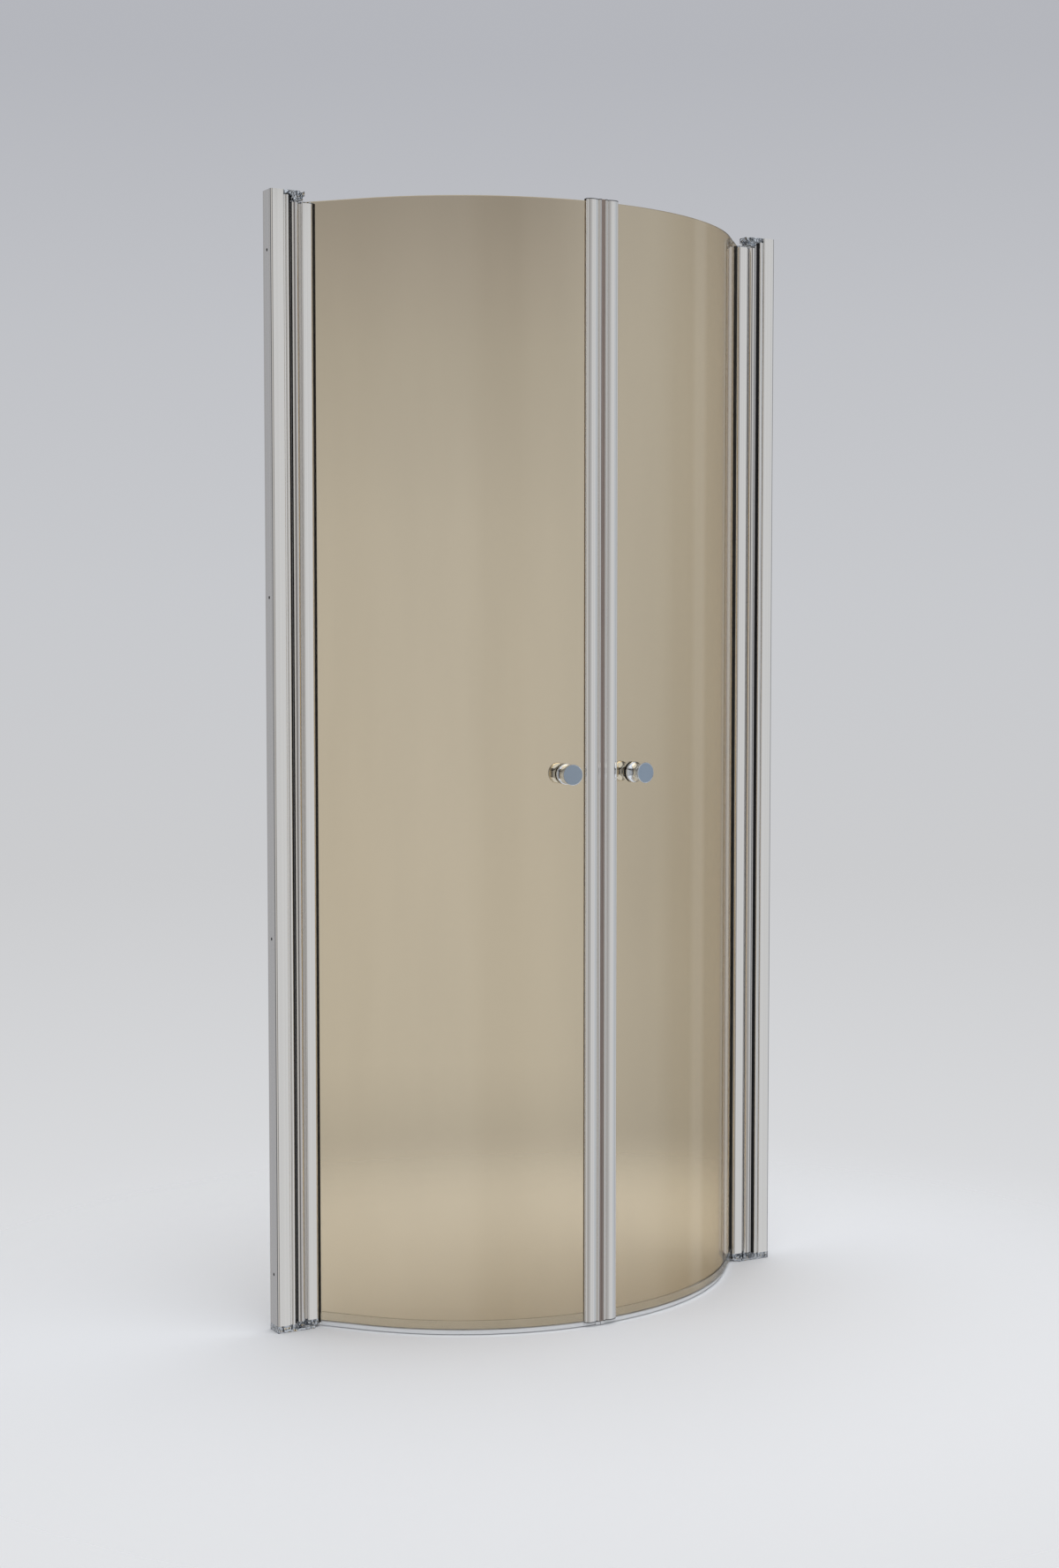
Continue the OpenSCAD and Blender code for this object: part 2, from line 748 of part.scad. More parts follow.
// thin grey lining between glass and closing profile
module closing_tape() {
  color([0.30, 0.30, 0.31])
  bow()
  translate([0, 0, close_z0]) linear_extrude(glass_z1 - close_z0)
  intersection() {
    difference() {
      circle(bow_r + tape_t - 0.08, $fn = bow_fn);
      circle(bow_r - glass_t - tape_t + 0.08, $fn = bow_fn);
      difference() {
        circle(bow_r + 0.08, $fn = bow_fn);
        circle(bow_r - glass_t - 0.08, $fn = bow_fn);
        translate([-glass_end + 0.08, -bow_r - 20]) square([40, 60]);
      }
    }
    translate([-close_w - 0.5, -bow_r - 20]) square([close_w + 0.5 - glass_end + 0.45, 60]);
  }
}

// dark plastic caps with a plug in the chamber of the closing profile
module closing_caps() {
  y_mid = -bow_r + glass_t / 2;
  color([0.12, 0.12, 0.13])
  bow() {
    translate([0, 0, close_z1]) linear_extrude(close_cap) closing_outline();
    translate([0, 0, close_z0 - close_cap]) linear_extrude(close_cap) difference() {
      closing_outline();
      leaf_slot();
    }
    for (z = [close_z0 - 0.5, close_z1 - 8]) {
      translate([-close_gap - 7.9, y_mid - 4.3, z]) cube([2.4, 8.6, 8.5]);
    }
  }
}

// magnetic strip with a T foot in the closing profile
module magnet_strip() {
  y_mid = -bow_r + glass_t / 2;
  color([0.28, 0.22, 0.19])
  bow() {
    translate([0, 0, close_z0 - close_cap]) linear_extrude(close_z1 - close_z0 + 2 * close_cap)
      round_rect(-close_gap + 0.05, y_mid - 7, -magnet_gap, y_mid + 7, 0.8);
    translate([0, 0, close_z0 + 0.1]) linear_extrude(close_z1 - close_z0 - 0.2) {
      translate([-close_gap - 1.7, y_mid - 1.7]) square([2.6, 3.4]);
      translate([-close_gap - 3.7, y_mid - 3.3]) square([2.0, 6.6]);
    }
  }
}

// moves a shape drawn along +z onto the knob axis of the left leaf, z = 0 at radius r
module on_knob_axis(r) {
  bow() rotate(-knob_a) translate([0, -r, knob_z]) rotate([90, 0, 0]) children();
}

// half section of a knob, x is the radius and y the distance from its base
module knob_half() {
  scoop = 15.5;
  mid = (knob_len - 1.5) / 2;
  difference() {
    union() {
      square([knob_r - 0.2, knob_len]);
      square([knob_r, 3.6]);
    }
    intersection() {
      translate([waist_r + scoop, mid]) circle(scoop);
      translate([0, 3.6]) square([2 * knob_r, knob_len]);
    }
    translate([knob_r, 3.6]) mirror([1, 0]) mirror([0, 1]) corner(1);
    translate([knob_r, 0]) mirror([1, 0]) corner(0.5);
    translate([knob_r - 0.2, knob_len]) mirror([1, 0]) mirror([0, 1]) corner(0.5);
    // seat of the insert and bore of the stud
    translate([-1, knob_len - 1.4]) square([knob_r - knob_rim + 1, 3]);
    translate([-1, -1]) square([stud_r + 0.04 + 1, 15]);
    // hollow behind the base rim
    translate([9, -1]) square([4.5, 2.2]);
  }
}

module outer_knob() {
  color([0.78, 0.80, 0.83])
  on_knob_axis(bow_r + washer_t) rotate_extrude() knob_half();
}

module inner_knob() {
  color([0.78, 0.80, 0.83])
  on_knob_axis(bow_r - glass_t - washer_t) mirror([0, 0, 1]) rotate_extrude() knob_half();
}

// satin discs let into the faces of both knobs
module knob_inserts() {
  color([0.55, 0.59, 0.64]) {
    on_knob_axis(knob_tip - 1.4) cylinder(r = knob_r - knob_rim - 0.05, h = 1.15);
    on_knob_axis(bow_r - glass_t - washer_t - knob_len + 1.4)
      mirror([0, 0, 1]) cylinder(r = knob_r - knob_rim - 0.05, h = 1.15);
  }
}

// dark washers, curved to the glass, each with half of the sleeve in the glass hole
module knob_washers() {
  color([0.10, 0.11, 0.11]) {
    difference() {
      union() {
        on_knob_axis(bow_r - 1) cylinder(r = knob_r - 0.6, h = washer_t + 0.98);
      }
      bow() translate([0, 0, knob_z - 30]) cylinder(r = bow_r + 0.02, h = 60, $fn = bow_fn);
      on_knob_axis(bow_r - 20) cylinder(r = stud_r + 0.05, h = 40, $fn = 64);
    }
    on_knob_axis(bow_r - glass_t / 2 + 0.1) washer_sleeve(glass_t / 2 - 0.1 + 0.4);
    difference() {
      intersection() {
        on_knob_axis(bow_r - glass_t - washer_t + 0.02) cylinder(r = knob_r - 0.6, h = 2);
        bow() translate([0, 0, knob_z - 30]) cylinder(r = bow_r - glass_t - 0.02, h = 60, $fn = bow_fn);
      }
      on_knob_axis(bow_r - 20) cylinder(r = stud_r + 0.05, h = 40, $fn = 64);
    }
    on_knob_axis(bow_r - glass_t - 0.4) washer_sleeve(glass_t / 2 - 0.1 + 0.4);
  }
}

module washer_sleeve(h) {
  difference() {
    cylinder(r = 6.9, h = h, $fn = 64);
    translate([0, 0, -1]) cylinder(r = stud_r + 0.05, h = h + 2, $fn = 64);
  }
}

module knob_stud() {
  color([0.60, 0.61, 0.63])
  on_knob_axis(bow_r - glass_t - washer_t - 13)
    cylinder(r = stud_r, h = glass_t + 2 * washer_t + 26, $fn = 64);
}

wall_profile();  // wall_profile_left
right_side() wall_profile();  // wall_profile_right
post_profile();  // post_profile_left
right_side() post_profile();  // post_profile_right
top_cap();  // top_cap_left
right_side() top_cap();  // top_cap_right
gap_seal();  // gap_seal_left
right_side() gap_seal();  // gap_seal_right
top_bracket();  // top_bracket_left
right_side() top_bracket();  // top_bracket_right
foot_block();  // foot_block_left
right_side() foot_block();  // foot_block_right
top_pin();  // top_pin_left
right_side() top_pin();  // top_pin_right
bottom_pin();  // bottom_pin_left
right_side() bottom_pin();  // bottom_pin_right
adjusting_screws();
bracket_screws();
pivot_profile();  // pivot_profile_left
right_side() pivot_profile();  // pivot_profile_right
pivot_bushes();  // pivot_bushes_left
right_side() pivot_bushes();  // pivot_bushes_right
pivot_caps();  // pivot_caps_left
right_side() pivot_caps();  // pivot_caps_right
glass_rubber();  // glass_rubber_left
right_side() glass_rubber();  // glass_rubber_right
door_glass();  // door_glass_left
right_side() door_glass();  // door_glass_right
bottom_seal();  // bottom_seal_left
right_side() bottom_seal();  // bottom_seal_right
closing_profile();  // closing_profile_left
right_side() closing_profile();  // closing_profile_right
closing_tape();  // closing_tape_left
right_side() closing_tape();  // closing_tape_right
closing_caps();  // closing_caps_left
right_side() closing_caps();  // closing_caps_right
magnet_strip();  // magnet_strip_left
right_side() magnet_strip();  // magnet_strip_right
outer_knob();  // outer_knob_left
right_side() outer_knob();  // outer_knob_right
inner_knob();  // inner_knob_left
right_side() inner_knob();  // inner_knob_right
knob_inserts();  // knob_inserts_left
right_side() knob_inserts();  // knob_inserts_right
knob_washers();  // knob_washers_left
right_side() knob_washers();  // knob_washers_right
knob_stud();  // knob_stud_left
right_side() knob_stud();  // knob_stud_right
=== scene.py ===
"""Looks of a bowed double shower door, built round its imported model.

The profiles, strips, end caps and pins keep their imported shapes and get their
finishes here. The glass leaves, the seals and the knobs are modelled again with
fine curves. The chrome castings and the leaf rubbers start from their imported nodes.
Lengths are in metres.
"""

import json
import logging
import math
from dataclasses import dataclass
from enum import Enum
from typing import Sequence

import bmesh
import bpy
from bmesh.types import BMesh, BMFace, BMVert
from mathutils import Matrix, Vector


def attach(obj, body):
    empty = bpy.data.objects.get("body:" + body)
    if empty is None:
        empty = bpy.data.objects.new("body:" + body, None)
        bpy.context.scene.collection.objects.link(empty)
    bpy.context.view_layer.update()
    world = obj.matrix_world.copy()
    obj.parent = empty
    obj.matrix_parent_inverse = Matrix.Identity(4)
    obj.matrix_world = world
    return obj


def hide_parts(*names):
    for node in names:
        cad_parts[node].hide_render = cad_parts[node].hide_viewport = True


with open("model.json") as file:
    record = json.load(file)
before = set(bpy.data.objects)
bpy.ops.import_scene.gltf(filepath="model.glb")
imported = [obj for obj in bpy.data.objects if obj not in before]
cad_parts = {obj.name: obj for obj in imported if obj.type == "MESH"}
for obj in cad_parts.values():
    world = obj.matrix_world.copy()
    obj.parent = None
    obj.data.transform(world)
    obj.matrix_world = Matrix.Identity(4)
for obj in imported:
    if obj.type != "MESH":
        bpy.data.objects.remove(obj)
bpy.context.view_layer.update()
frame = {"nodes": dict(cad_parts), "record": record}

log = logging.getLogger("shower_door")

Pair = tuple[float, float]
Point = tuple[float, float, float]
Limits = tuple[float, float, float, float]
Colour = Point
Stops = tuple[tuple[float, Colour], ...]
Outline = Sequence[Pair]
Socket = bpy.types.NodeSocket
Piece = bpy.types.Object

NOISE_RANGE = (0.3, 0.7)  # holds nearly all values of a noise
WELD = 1e-6  # points closer than this are one
PACKED_WELD = 2e-6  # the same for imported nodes, which are rounded
FLAT_ANGLE = math.radians(0.6)  # faces that turn less than this are one face
ROUND_STEPS = 2  # steps of every small round
CRISP_DEGREES = 32.0  # edges that turn more than this look crisp


class Side(Enum):
    """Which half of the door a piece belongs to."""

    LEFT = "left"
    RIGHT = "right"

    @property
    def sign(self) -> float:
        """-1 on the left, +1 on the right."""
        return -1.0 if self is Side.LEFT else 1.0

    @property
    def door(self) -> str:
        """Name of the moving body on this side."""
        return f"door_{self.value}"

    def node(self, base: str) -> str:
        """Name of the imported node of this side."""
        return f"{base}_{self.value}"


class Face(Enum):
    """Face of the glass that a knob sits on."""

    OUTER = "outer"
    INNER = "inner"


# Finishes


def shade(colour: Colour, factor: float) -> Colour:
    """A colour made lighter or darker by a factor."""
    return (colour[0] * factor, colour[1] * factor, colour[2] * factor)


def grey(level: float) -> Colour:
    """An even grey."""
    return (level, level, level)


class Nodes:
    """Node tree of a material or of the world, with short ways to add and join."""

    def __init__(self, tree: bpy.types.NodeTree) -> None:
        """Takes over a tree and empties it."""
        self.tree = tree
        self.tree.nodes.clear()

    def add(self, kind: str, *sources: Socket, **settings: object) -> bpy.types.Node:
        """Adds a node.

        Args:
            kind: type name of the node.
            *sources: what feeds its first inputs.
            **settings: attributes of the node, or values of its inputs by name.

        Returns:
            The new node.
        """
        node = self.tree.nodes.new(kind)
        for key, value in settings.items():
            if hasattr(node, key):
                setattr(node, key, value)
            else:
                node.inputs[key.replace("_", " ").title()].default_value = value
        for out, into in zip(sources, node.inputs):
            self.join(out, into)
        return node

    def join(self, out: Socket, into: Socket) -> None:
        """Links two sockets."""
        self.tree.links.new(out, into)

    def place(self, scale: Point) -> Socket:
        """Object coordinates, scaled by cycles per metre along each axis."""
        source = self.add("ShaderNodeTexCoord")
        return self.add("ShaderNodeMapping", source.outputs["Object"], Scale=scale).outputs[0]

    def noise(self, vector: Socket, detail: float, roughness: float) -> Socket:
        """Noise from 0 to 1, with a number of finer layers and their weight."""
        node = self.add("ShaderNodeTexNoise", vector, Scale=1.0, Detail=detail,
                        Roughness=roughness)
        return node.outputs["Fac"]

    def ramp(self, value: Socket, stops: Stops) -> Socket:
        """Colours a value by stops.

        Args:
            value: the factor.
            stops: positions with their colours.

        Returns:
            The colour.
        """
        node = self.add("ShaderNodeValToRGB", value)
        bar = node.color_ramp.elements
        while len(bar) < len(stops):
            bar.new(0.5)
        for element, (position, colour) in zip(bar, stops):
            element.position = position
            element.color = (*colour, 1.0)
        return node.outputs["Color"]

    def span(self, value: Socket, low: float, high: float, source: Pair = NOISE_RANGE) -> Socket:
        """Maps a value linearly from the ends of a source range to a low and a high result."""
        node = self.add("ShaderNodeMapRange", value, From_Min=source[0], From_Max=source[1],
                        To_Min=low, To_Max=high)
        return node.outputs["Result"]

    def blend(self, share: Socket, first: Socket, second: Socket) -> Socket:
        """Goes from one colour or shader to another.

        Args:
            share: share of the second one.
            first: a colour or a shader.
            second: another of the same kind.

        Returns:
            What comes out.
        """
        if first.type == "SHADER":
            return self.add("ShaderNodeMixShader", share, first, second).outputs[0]
        node = self.add("ShaderNodeMix", share, data_type="RGBA")
        for out, into in zip((first, second), (s for s in node.inputs if s.type == "RGBA")):
            self.join(out, into)
        return next(s for s in node.outputs if s.type == "RGBA")

    def radius(self, vector: Socket) -> Socket:
        """Length of a vector."""
        return self.add("ShaderNodeVectorMath", vector, operation="LENGTH").outputs["Value"]


class Bench(Nodes):
    """Nodes of one material, round its shader."""

    def __init__(self, name: str) -> None:
        """Starts a material.

        Args:
            name: name of the material.
        """
        self.material = bpy.data.materials.new(name)
        self.material.use_nodes = True
        super().__init__(self.material.node_tree)
        self.shader = self.add("ShaderNodeBsdfPrincipled")
        self.output = self.add("ShaderNodeOutputMaterial", self.shader.outputs[0])

    def set(self, **values: object) -> None:
        """Sets plain values on the shader's own sockets.

        Args:
            **values: socket names in lower case with underscores.
        """
        names = {s.name.lower().replace(" ", "_"): s for s in self.shader.inputs}
        for key, value in values.items():
            if isinstance(value, tuple) and len(value) == 3:
                value = (*value, 1.0)
            names[key].default_value = value

    def bump(self, height: Socket, depth: float) -> None:
        """Feeds a height to the shader's normal.

        Args:
            height: value from 0 to 1.
            depth: what 1 means.
        """
        node = self.add("ShaderNodeBump", Strength=1.0, Distance=depth)
        self.join(height, node.inputs["Height"])
        self.join(node.outputs["Normal"], self.shader.inputs["Normal"])


@dataclass(frozen=True)
class Marks:
    """Fine marks on a surface.

    Attributes:
        scale: cycles per metre along each axis.
        detail: number of finer layers.
        roughness: weight of the finer layers.
    """

    scale: Point
    detail: float = 2.0
    roughness: float = 0.5


@dataclass(frozen=True)
class Finish:
    """Finish whose colour, roughness and relief follow fine marks.

    Attributes:
        marks: marks that vary the colour, and all else that has none of its own.
        tone: factors of the colour at the low and the high end of the marks.
        gloss: roughness at the low and the high end of its marks.
        tone_range: values of the marks at the two ends of the tone.
        relief: depth of the marks, if they have any.
    """

    name: str
    colour: Colour
    marks: Marks
    tone: Pair
    gloss: Pair
    tone_range: Pair = NOISE_RANGE
    gloss_marks: Marks | None = None
    relief: float = 0.0
    relief_marks: Marks | None = None
    metallic: float = 0.0
    specular: float = 0.5

    def draw(self, bench: Bench, marks: Marks) -> Socket:
        """Value of some marks, from 0 to 1."""
        return bench.noise(bench.place(marks.scale), marks.detail, marks.roughness)

    def complete(self, bench: Bench) -> None:
        """Adds what the plain finish lacks, which is nothing here."""

    def material(self) -> bpy.types.Material:
        """Builds the material.

        Returns:
            The material.
        """
        bench = Bench(self.name)
        marks = self.draw(bench, self.marks)
        stops = tuple((at, shade(self.colour, by)) for at, by in zip(self.tone_range, self.tone))
        bench.join(bench.ramp(marks, stops), bench.shader.inputs["Base Color"])
        gloss = self.draw(bench, self.gloss_marks) if self.gloss_marks else marks
        bench.join(bench.span(gloss, *self.gloss), bench.shader.inputs["Roughness"])
        if self.relief:
            relief = self.draw(bench, self.relief_marks) if self.relief_marks else marks
            bench.bump(relief, self.relief)
        bench.set(metallic=self.metallic, specular_ior_level=self.specular)
        self.complete(bench)
        return bench.material


@dataclass(frozen=True)
class SatinDisc(Finish):
    """Satin metal with turning rings round the knob axis.

    Attributes:
        centre: a point on the axis.
        turn: angle that lays the axis along Y.
    """

    centre: Point = (0.0, 0.0, 0.0)
    turn: float = 0.0

    def draw(self, bench: Bench, marks: Marks) -> Socket:
        """Draws rings round the axis.

        Args:
            bench: nodes of the material.
            marks: the rings, with their scale along X.

        Returns:
            Value of the rings, from 0 to 1.
        """
        source = bench.add("ShaderNodeTexCoord")
        shift = bench.add("ShaderNodeVectorMath", source.outputs["Object"], operation="SUBTRACT")
        shift.inputs[1].default_value = self.centre
        level = bench.add("ShaderNodeMapping", shift.outputs[0], Rotation=(0, 0, self.turn),
                          Scale=(1, 0, 1))
        far = bench.add("ShaderNodeMath", bench.radius(level.outputs[0]), operation="MULTIPLY")
        far.inputs[1].default_value = marks.scale[0]
        line = bench.add("ShaderNodeCombineXYZ", far.outputs[0])
        return bench.noise(line.outputs[0], marks.detail, marks.roughness)


@dataclass(frozen=True)
class BronzeGlass(Finish):
    """Clear safety glass, bronze through its thickness, with a faint dried film.

    Attributes:
        body: colour that the absorption leaves, at the density below.
        density: absorption per metre of path where the body colour is black.
    """

    body: Colour = (0.706, 0.474, 0.0)
    density: float = 90.0
    ior: float = 1.5

    def complete(self, bench: Bench) -> None:
        """Makes the glass clear and tints it through its thickness."""
        bench.set(transmission_weight=1.0, ior=self.ior)
        depth = bench.add("ShaderNodeVolumeAbsorption", Density=self.density)
        depth.inputs["Color"].default_value = (*self.body, 1.0)
        bench.join(depth.outputs[0], bench.output.inputs["Volume"])


@dataclass(frozen=True)
class ClearSeal(Finish):
    """Clear soft plastic with drawn lines along its length and milky lips below.

    Attributes:
        lip_clear: how clear the lips are, where 1 is as clear as the clip.
        lip_heights: heights where the milky lips end and the clear clip starts.
    """

    ior: float = 1.25
    lip_clear: float = 0.12
    lip_heights: Pair = (0.0088, 0.0096)

    def complete(self, bench: Bench) -> None:
        """Makes the clip clear and the lips milky."""
        height = bench.add("ShaderNodeSeparateXYZ", bench.place((1, 1, 1)))
        clear = bench.span(height.outputs["Z"], self.lip_clear, 1.0, self.lip_heights)
        bench.join(clear, bench.shader.inputs["Transmission Weight"])
        bench.set(ior=self.ior)


def bright_aluminium() -> Finish:
    """Bright dipped aluminium with fine lengthwise extrusion lines."""
    return Finish("bright_aluminium", (0.86, 0.855, 0.85), Marks((700, 700, 0.2), roughness=0.6),
                  tone=(0.97, 1.03), gloss=(0.072, 0.117),
                  gloss_marks=Marks((60, 60, 0.3), detail=1.0), relief=0.000003, metallic=1.0)


def mirror_chrome(name: str, colour: Colour, waviness: float, grain: float) -> Finish:
    """Chrome plate on a casting, with waves of a depth and a number per metre."""
    return Finish(name, colour, Marks((700, 700, 700)), tone=(0.97, 1.0), gloss=(0.028, 0.06),
                  relief=waviness, relief_marks=Marks((grain,) * 3, detail=1.0), metallic=1.0)


def turned_steel(name: str, colour: Colour) -> Finish:
    """Ground or rolled steel of pins, studs and screws."""
    return Finish(name, colour, Marks((300, 300, 5000)), tone=(0.9, 1.0), gloss=(0.28, 0.392),
                  metallic=1.0)


def soft_rubber(name: str, colour: Colour) -> Finish:
    """Matt black rubber with a dusty bloom."""
    return Finish(name, colour, Marks((500, 500, 40), detail=3.0), tone=(1.0, 2.2),
                  gloss=(0.55, 0.75), tone_range=(0.35, 0.75), relief=0.00004, specular=0.25)


def moulded_plastic(name: str, colour: Colour, roughness: float) -> Finish:
    """Moulded plastic with a fine spark-eroded grain."""
    grain = Marks((2600, 2600, 2600))
    return Finish(name, colour, Marks((60, 60, 9)), tone=(0.93, 1.05),
                  gloss=(roughness * 0.85, roughness * 1.15), gloss_marks=grain,
                  relief=0.00003, relief_marks=grain)


class Finishes:
    """Every finish of the door, made once and given out by slot name."""

    def __init__(self) -> None:
        """Makes the materials."""
        makers = (
            bright_aluminium(),
            mirror_chrome("chrome", (0.75, 0.80, 0.87), waviness=0.00002, grain=160.0),
            # Bracket and foot chrome get darker base colours than the knob chrome: painted dark
            # reflection, for the dark look of these castings; the waves give their glitter.
            mirror_chrome("bracket_chrome", (0.48, 0.52, 0.57), waviness=0.012, grain=110.0),
            mirror_chrome("foot_chrome", (0.44, 0.47, 0.51), waviness=0.020, grain=150.0),
            turned_steel("pin_steel", (0.40, 0.41, 0.43)),
            turned_steel("screw_steel", (0.62, 0.63, 0.65)),
            BronzeGlass("bronze_glass", (0.95, 0.93, 0.885), Marks((14, 14, 2.2), detail=3.0),
                        tone=(0.985, 1.015), gloss=(0.0, 0.012)),
            soft_rubber("black_rubber", (0.006, 0.006, 0.0065)),
            soft_rubber("glass_rubber", (0.020, 0.020, 0.019)),
            ClearSeal("clear_seal", (0.98, 0.99, 0.995), Marks((12, 12, 900)),
                      tone=(0.97, 1.0), gloss=(0.05, 0.12), relief=0.000004),
            moulded_plastic("grey_lining", (0.82, 0.81, 0.78), 0.6),
            moulded_plastic("grey_cap", (0.50, 0.51, 0.53), 0.4),
            moulded_plastic("dark_cap", (0.075, 0.075, 0.08), 0.35),
            moulded_plastic("magnet_strip", (0.25, 0.20, 0.175), 0.4),
            moulded_plastic("white_nylon", (0.80, 0.80, 0.77), 0.5),
        )
        self.by_slot = {m.name: m.material() for m in makers}

    def dress(self, piece: Piece, slot: str) -> None:
        """Gives a piece a finish as its only one."""
        piece.data.materials.clear()
        piece.data.materials.append(self.by_slot[slot])


# Shared modelling


def finish_mesh(bm: BMesh, name: str, smooth_angle: float = CRISP_DEGREES) -> Piece:
    """Turns a bmesh into a scene object with smooth faces and crisp edges.

    Args:
        bm: the finished bmesh; it is freed.
        name: name of the object.
        smooth_angle: edges sharper than this stay crisp, in degrees.

    Returns:
        The new object, at the origin.
    """
    bmesh.ops.recalc_face_normals(bm, faces=bm.faces)
    limit = math.radians(smooth_angle)
    for face in bm.faces:
        face.smooth = True
    for edge in bm.edges:
        edge.smooth = len(edge.link_faces) == 2 and edge.calc_face_angle(0.0) < limit
    mesh = bpy.data.meshes.new(name)
    bm.to_mesh(mesh)
    bm.free()
    piece = bpy.data.objects.new(name, mesh)
    bpy.context.scene.collection.objects.link(piece)
    log.info("%s: %d faces", name, len(mesh.polygons))
    return piece


def round_edges(bm: BMesh, degrees: float, width: float) -> None:
    """Rounds every edge of a shell that turns more than an angle.

    Args:
        bm: the shell.
        degrees: the angle.
        width: width of the round.
    """
    bmesh.ops.recalc_face_normals(bm, faces=bm.faces)
    sharp = [e for e in bm.edges if e.calc_face_angle(0.0) > math.radians(degrees)]
    bmesh.ops.bevel(bm, geom=sharp, offset=width, segments=ROUND_STEPS, profile=0.5,
                    affect="EDGES", material=-1, clamp_overlap=True)


def points_of(geometry: Sequence[object]) -> list[BMVert]:
    """Points among what a bmesh operator gives back."""
    return [item for item in geometry if isinstance(item, BMVert)]


def stand(point: Vector, direction: Vector) -> Matrix:
    """Moves a shape drawn along +Z to a point, along a direction."""
    return Matrix.Translation(point) @ direction.to_track_quat("Z", "Y").to_matrix().to_4x4()


def merged_copy(node: str, name: str) -> Piece:
    """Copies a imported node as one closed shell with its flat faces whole.

    Args:
        node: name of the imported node.
        name: name of the copy.

    Returns:
        The copy, at the origin.
    """
    bm = bmesh.new()
    bm.from_mesh(frame["nodes"][node].data)
    bmesh.ops.remove_doubles(bm, verts=bm.verts, dist=PACKED_WELD)
    bmesh.ops.dissolve_limit(bm, angle_limit=FLAT_ANGLE, verts=bm.verts,
                             edges=bm.edges, use_dissolve_boundaries=False)
    return finish_mesh(bm, name)


# Sub-assemblies


@dataclass(frozen=True)
class Bow:
    """Plan of the bowed glass, shared by all that follows it.

    Attributes:
        radius: radius of the outer glass face.
        half_angle: angle from the middle of the door to the end of the bow.
    """

    centre_y: float = 0.3847762
    radius: float = 0.500
    glass: float = 0.006
    half_angle: float = math.radians(48.5)
    flat: float = 0.0860556
    knob_from_middle: float = 0.068
    knob_height: float = 0.966

    @property
    def centre(self) -> Vector:
        """Centre of the bow on the floor."""
        return Vector((0.0, self.centre_y, 0.0))

    @property
    def knob_angle(self) -> float:
        """Angle of the knobs from the front."""
        return self.angle(self.knob_from_middle)

    def angle(self, distance: float) -> float:
        """Angle from the front at a distance from the middle of the door."""
        return math.asin(distance / self.radius)

    def outward(self, angle: float) -> Vector:
        """Unit vector away from the centre, at an angle right of the front."""
        return Vector((math.sin(angle), -math.cos(angle), 0.0))

    def sweep(self, bm: BMesh, sign: float, outline: Outline, start: float,
              end: float, steps: int, flat: float = 0.0) -> None:
        """Sweeps an outline round the bow and, if asked, on along the flat.

        Args:
            bm: mesh that receives the closed shell.
            sign: side of the door.
            outline: reach from the outer glass face and height of each corner.
            start: angle of the first end.
            end: angle where the sweep leaves the bow.
            steps: steps of the sweep.
            flat: length of the straight run after it.
        """
        direction = self.outward(sign * start)
        corners = []
        for reach, height in outline:
            point = self.centre + direction * (self.radius + reach)
            point.z = height
            corners.append(bm.verts.new(point))
        face = bm.faces.new(corners)
        swept = bmesh.ops.spin(bm, geom=[face], cent=self.centre, axis=(0, 0, 1),
                               angle=sign * (end - start), steps=steps, use_duplicate=False)
        if flat:
            last = [f for f in swept["geom_last"] if isinstance(f, BMFace)]
            run = bmesh.ops.extrude_face_region(bm, geom=last)
            tangent = Vector((math.cos(end) * sign, math.sin(end), 0.0))
            bmesh.ops.translate(bm, verts=points_of(run["geom"]), vec=tangent * flat)
            bmesh.ops.delete(bm, geom=last, context="FACES_ONLY")


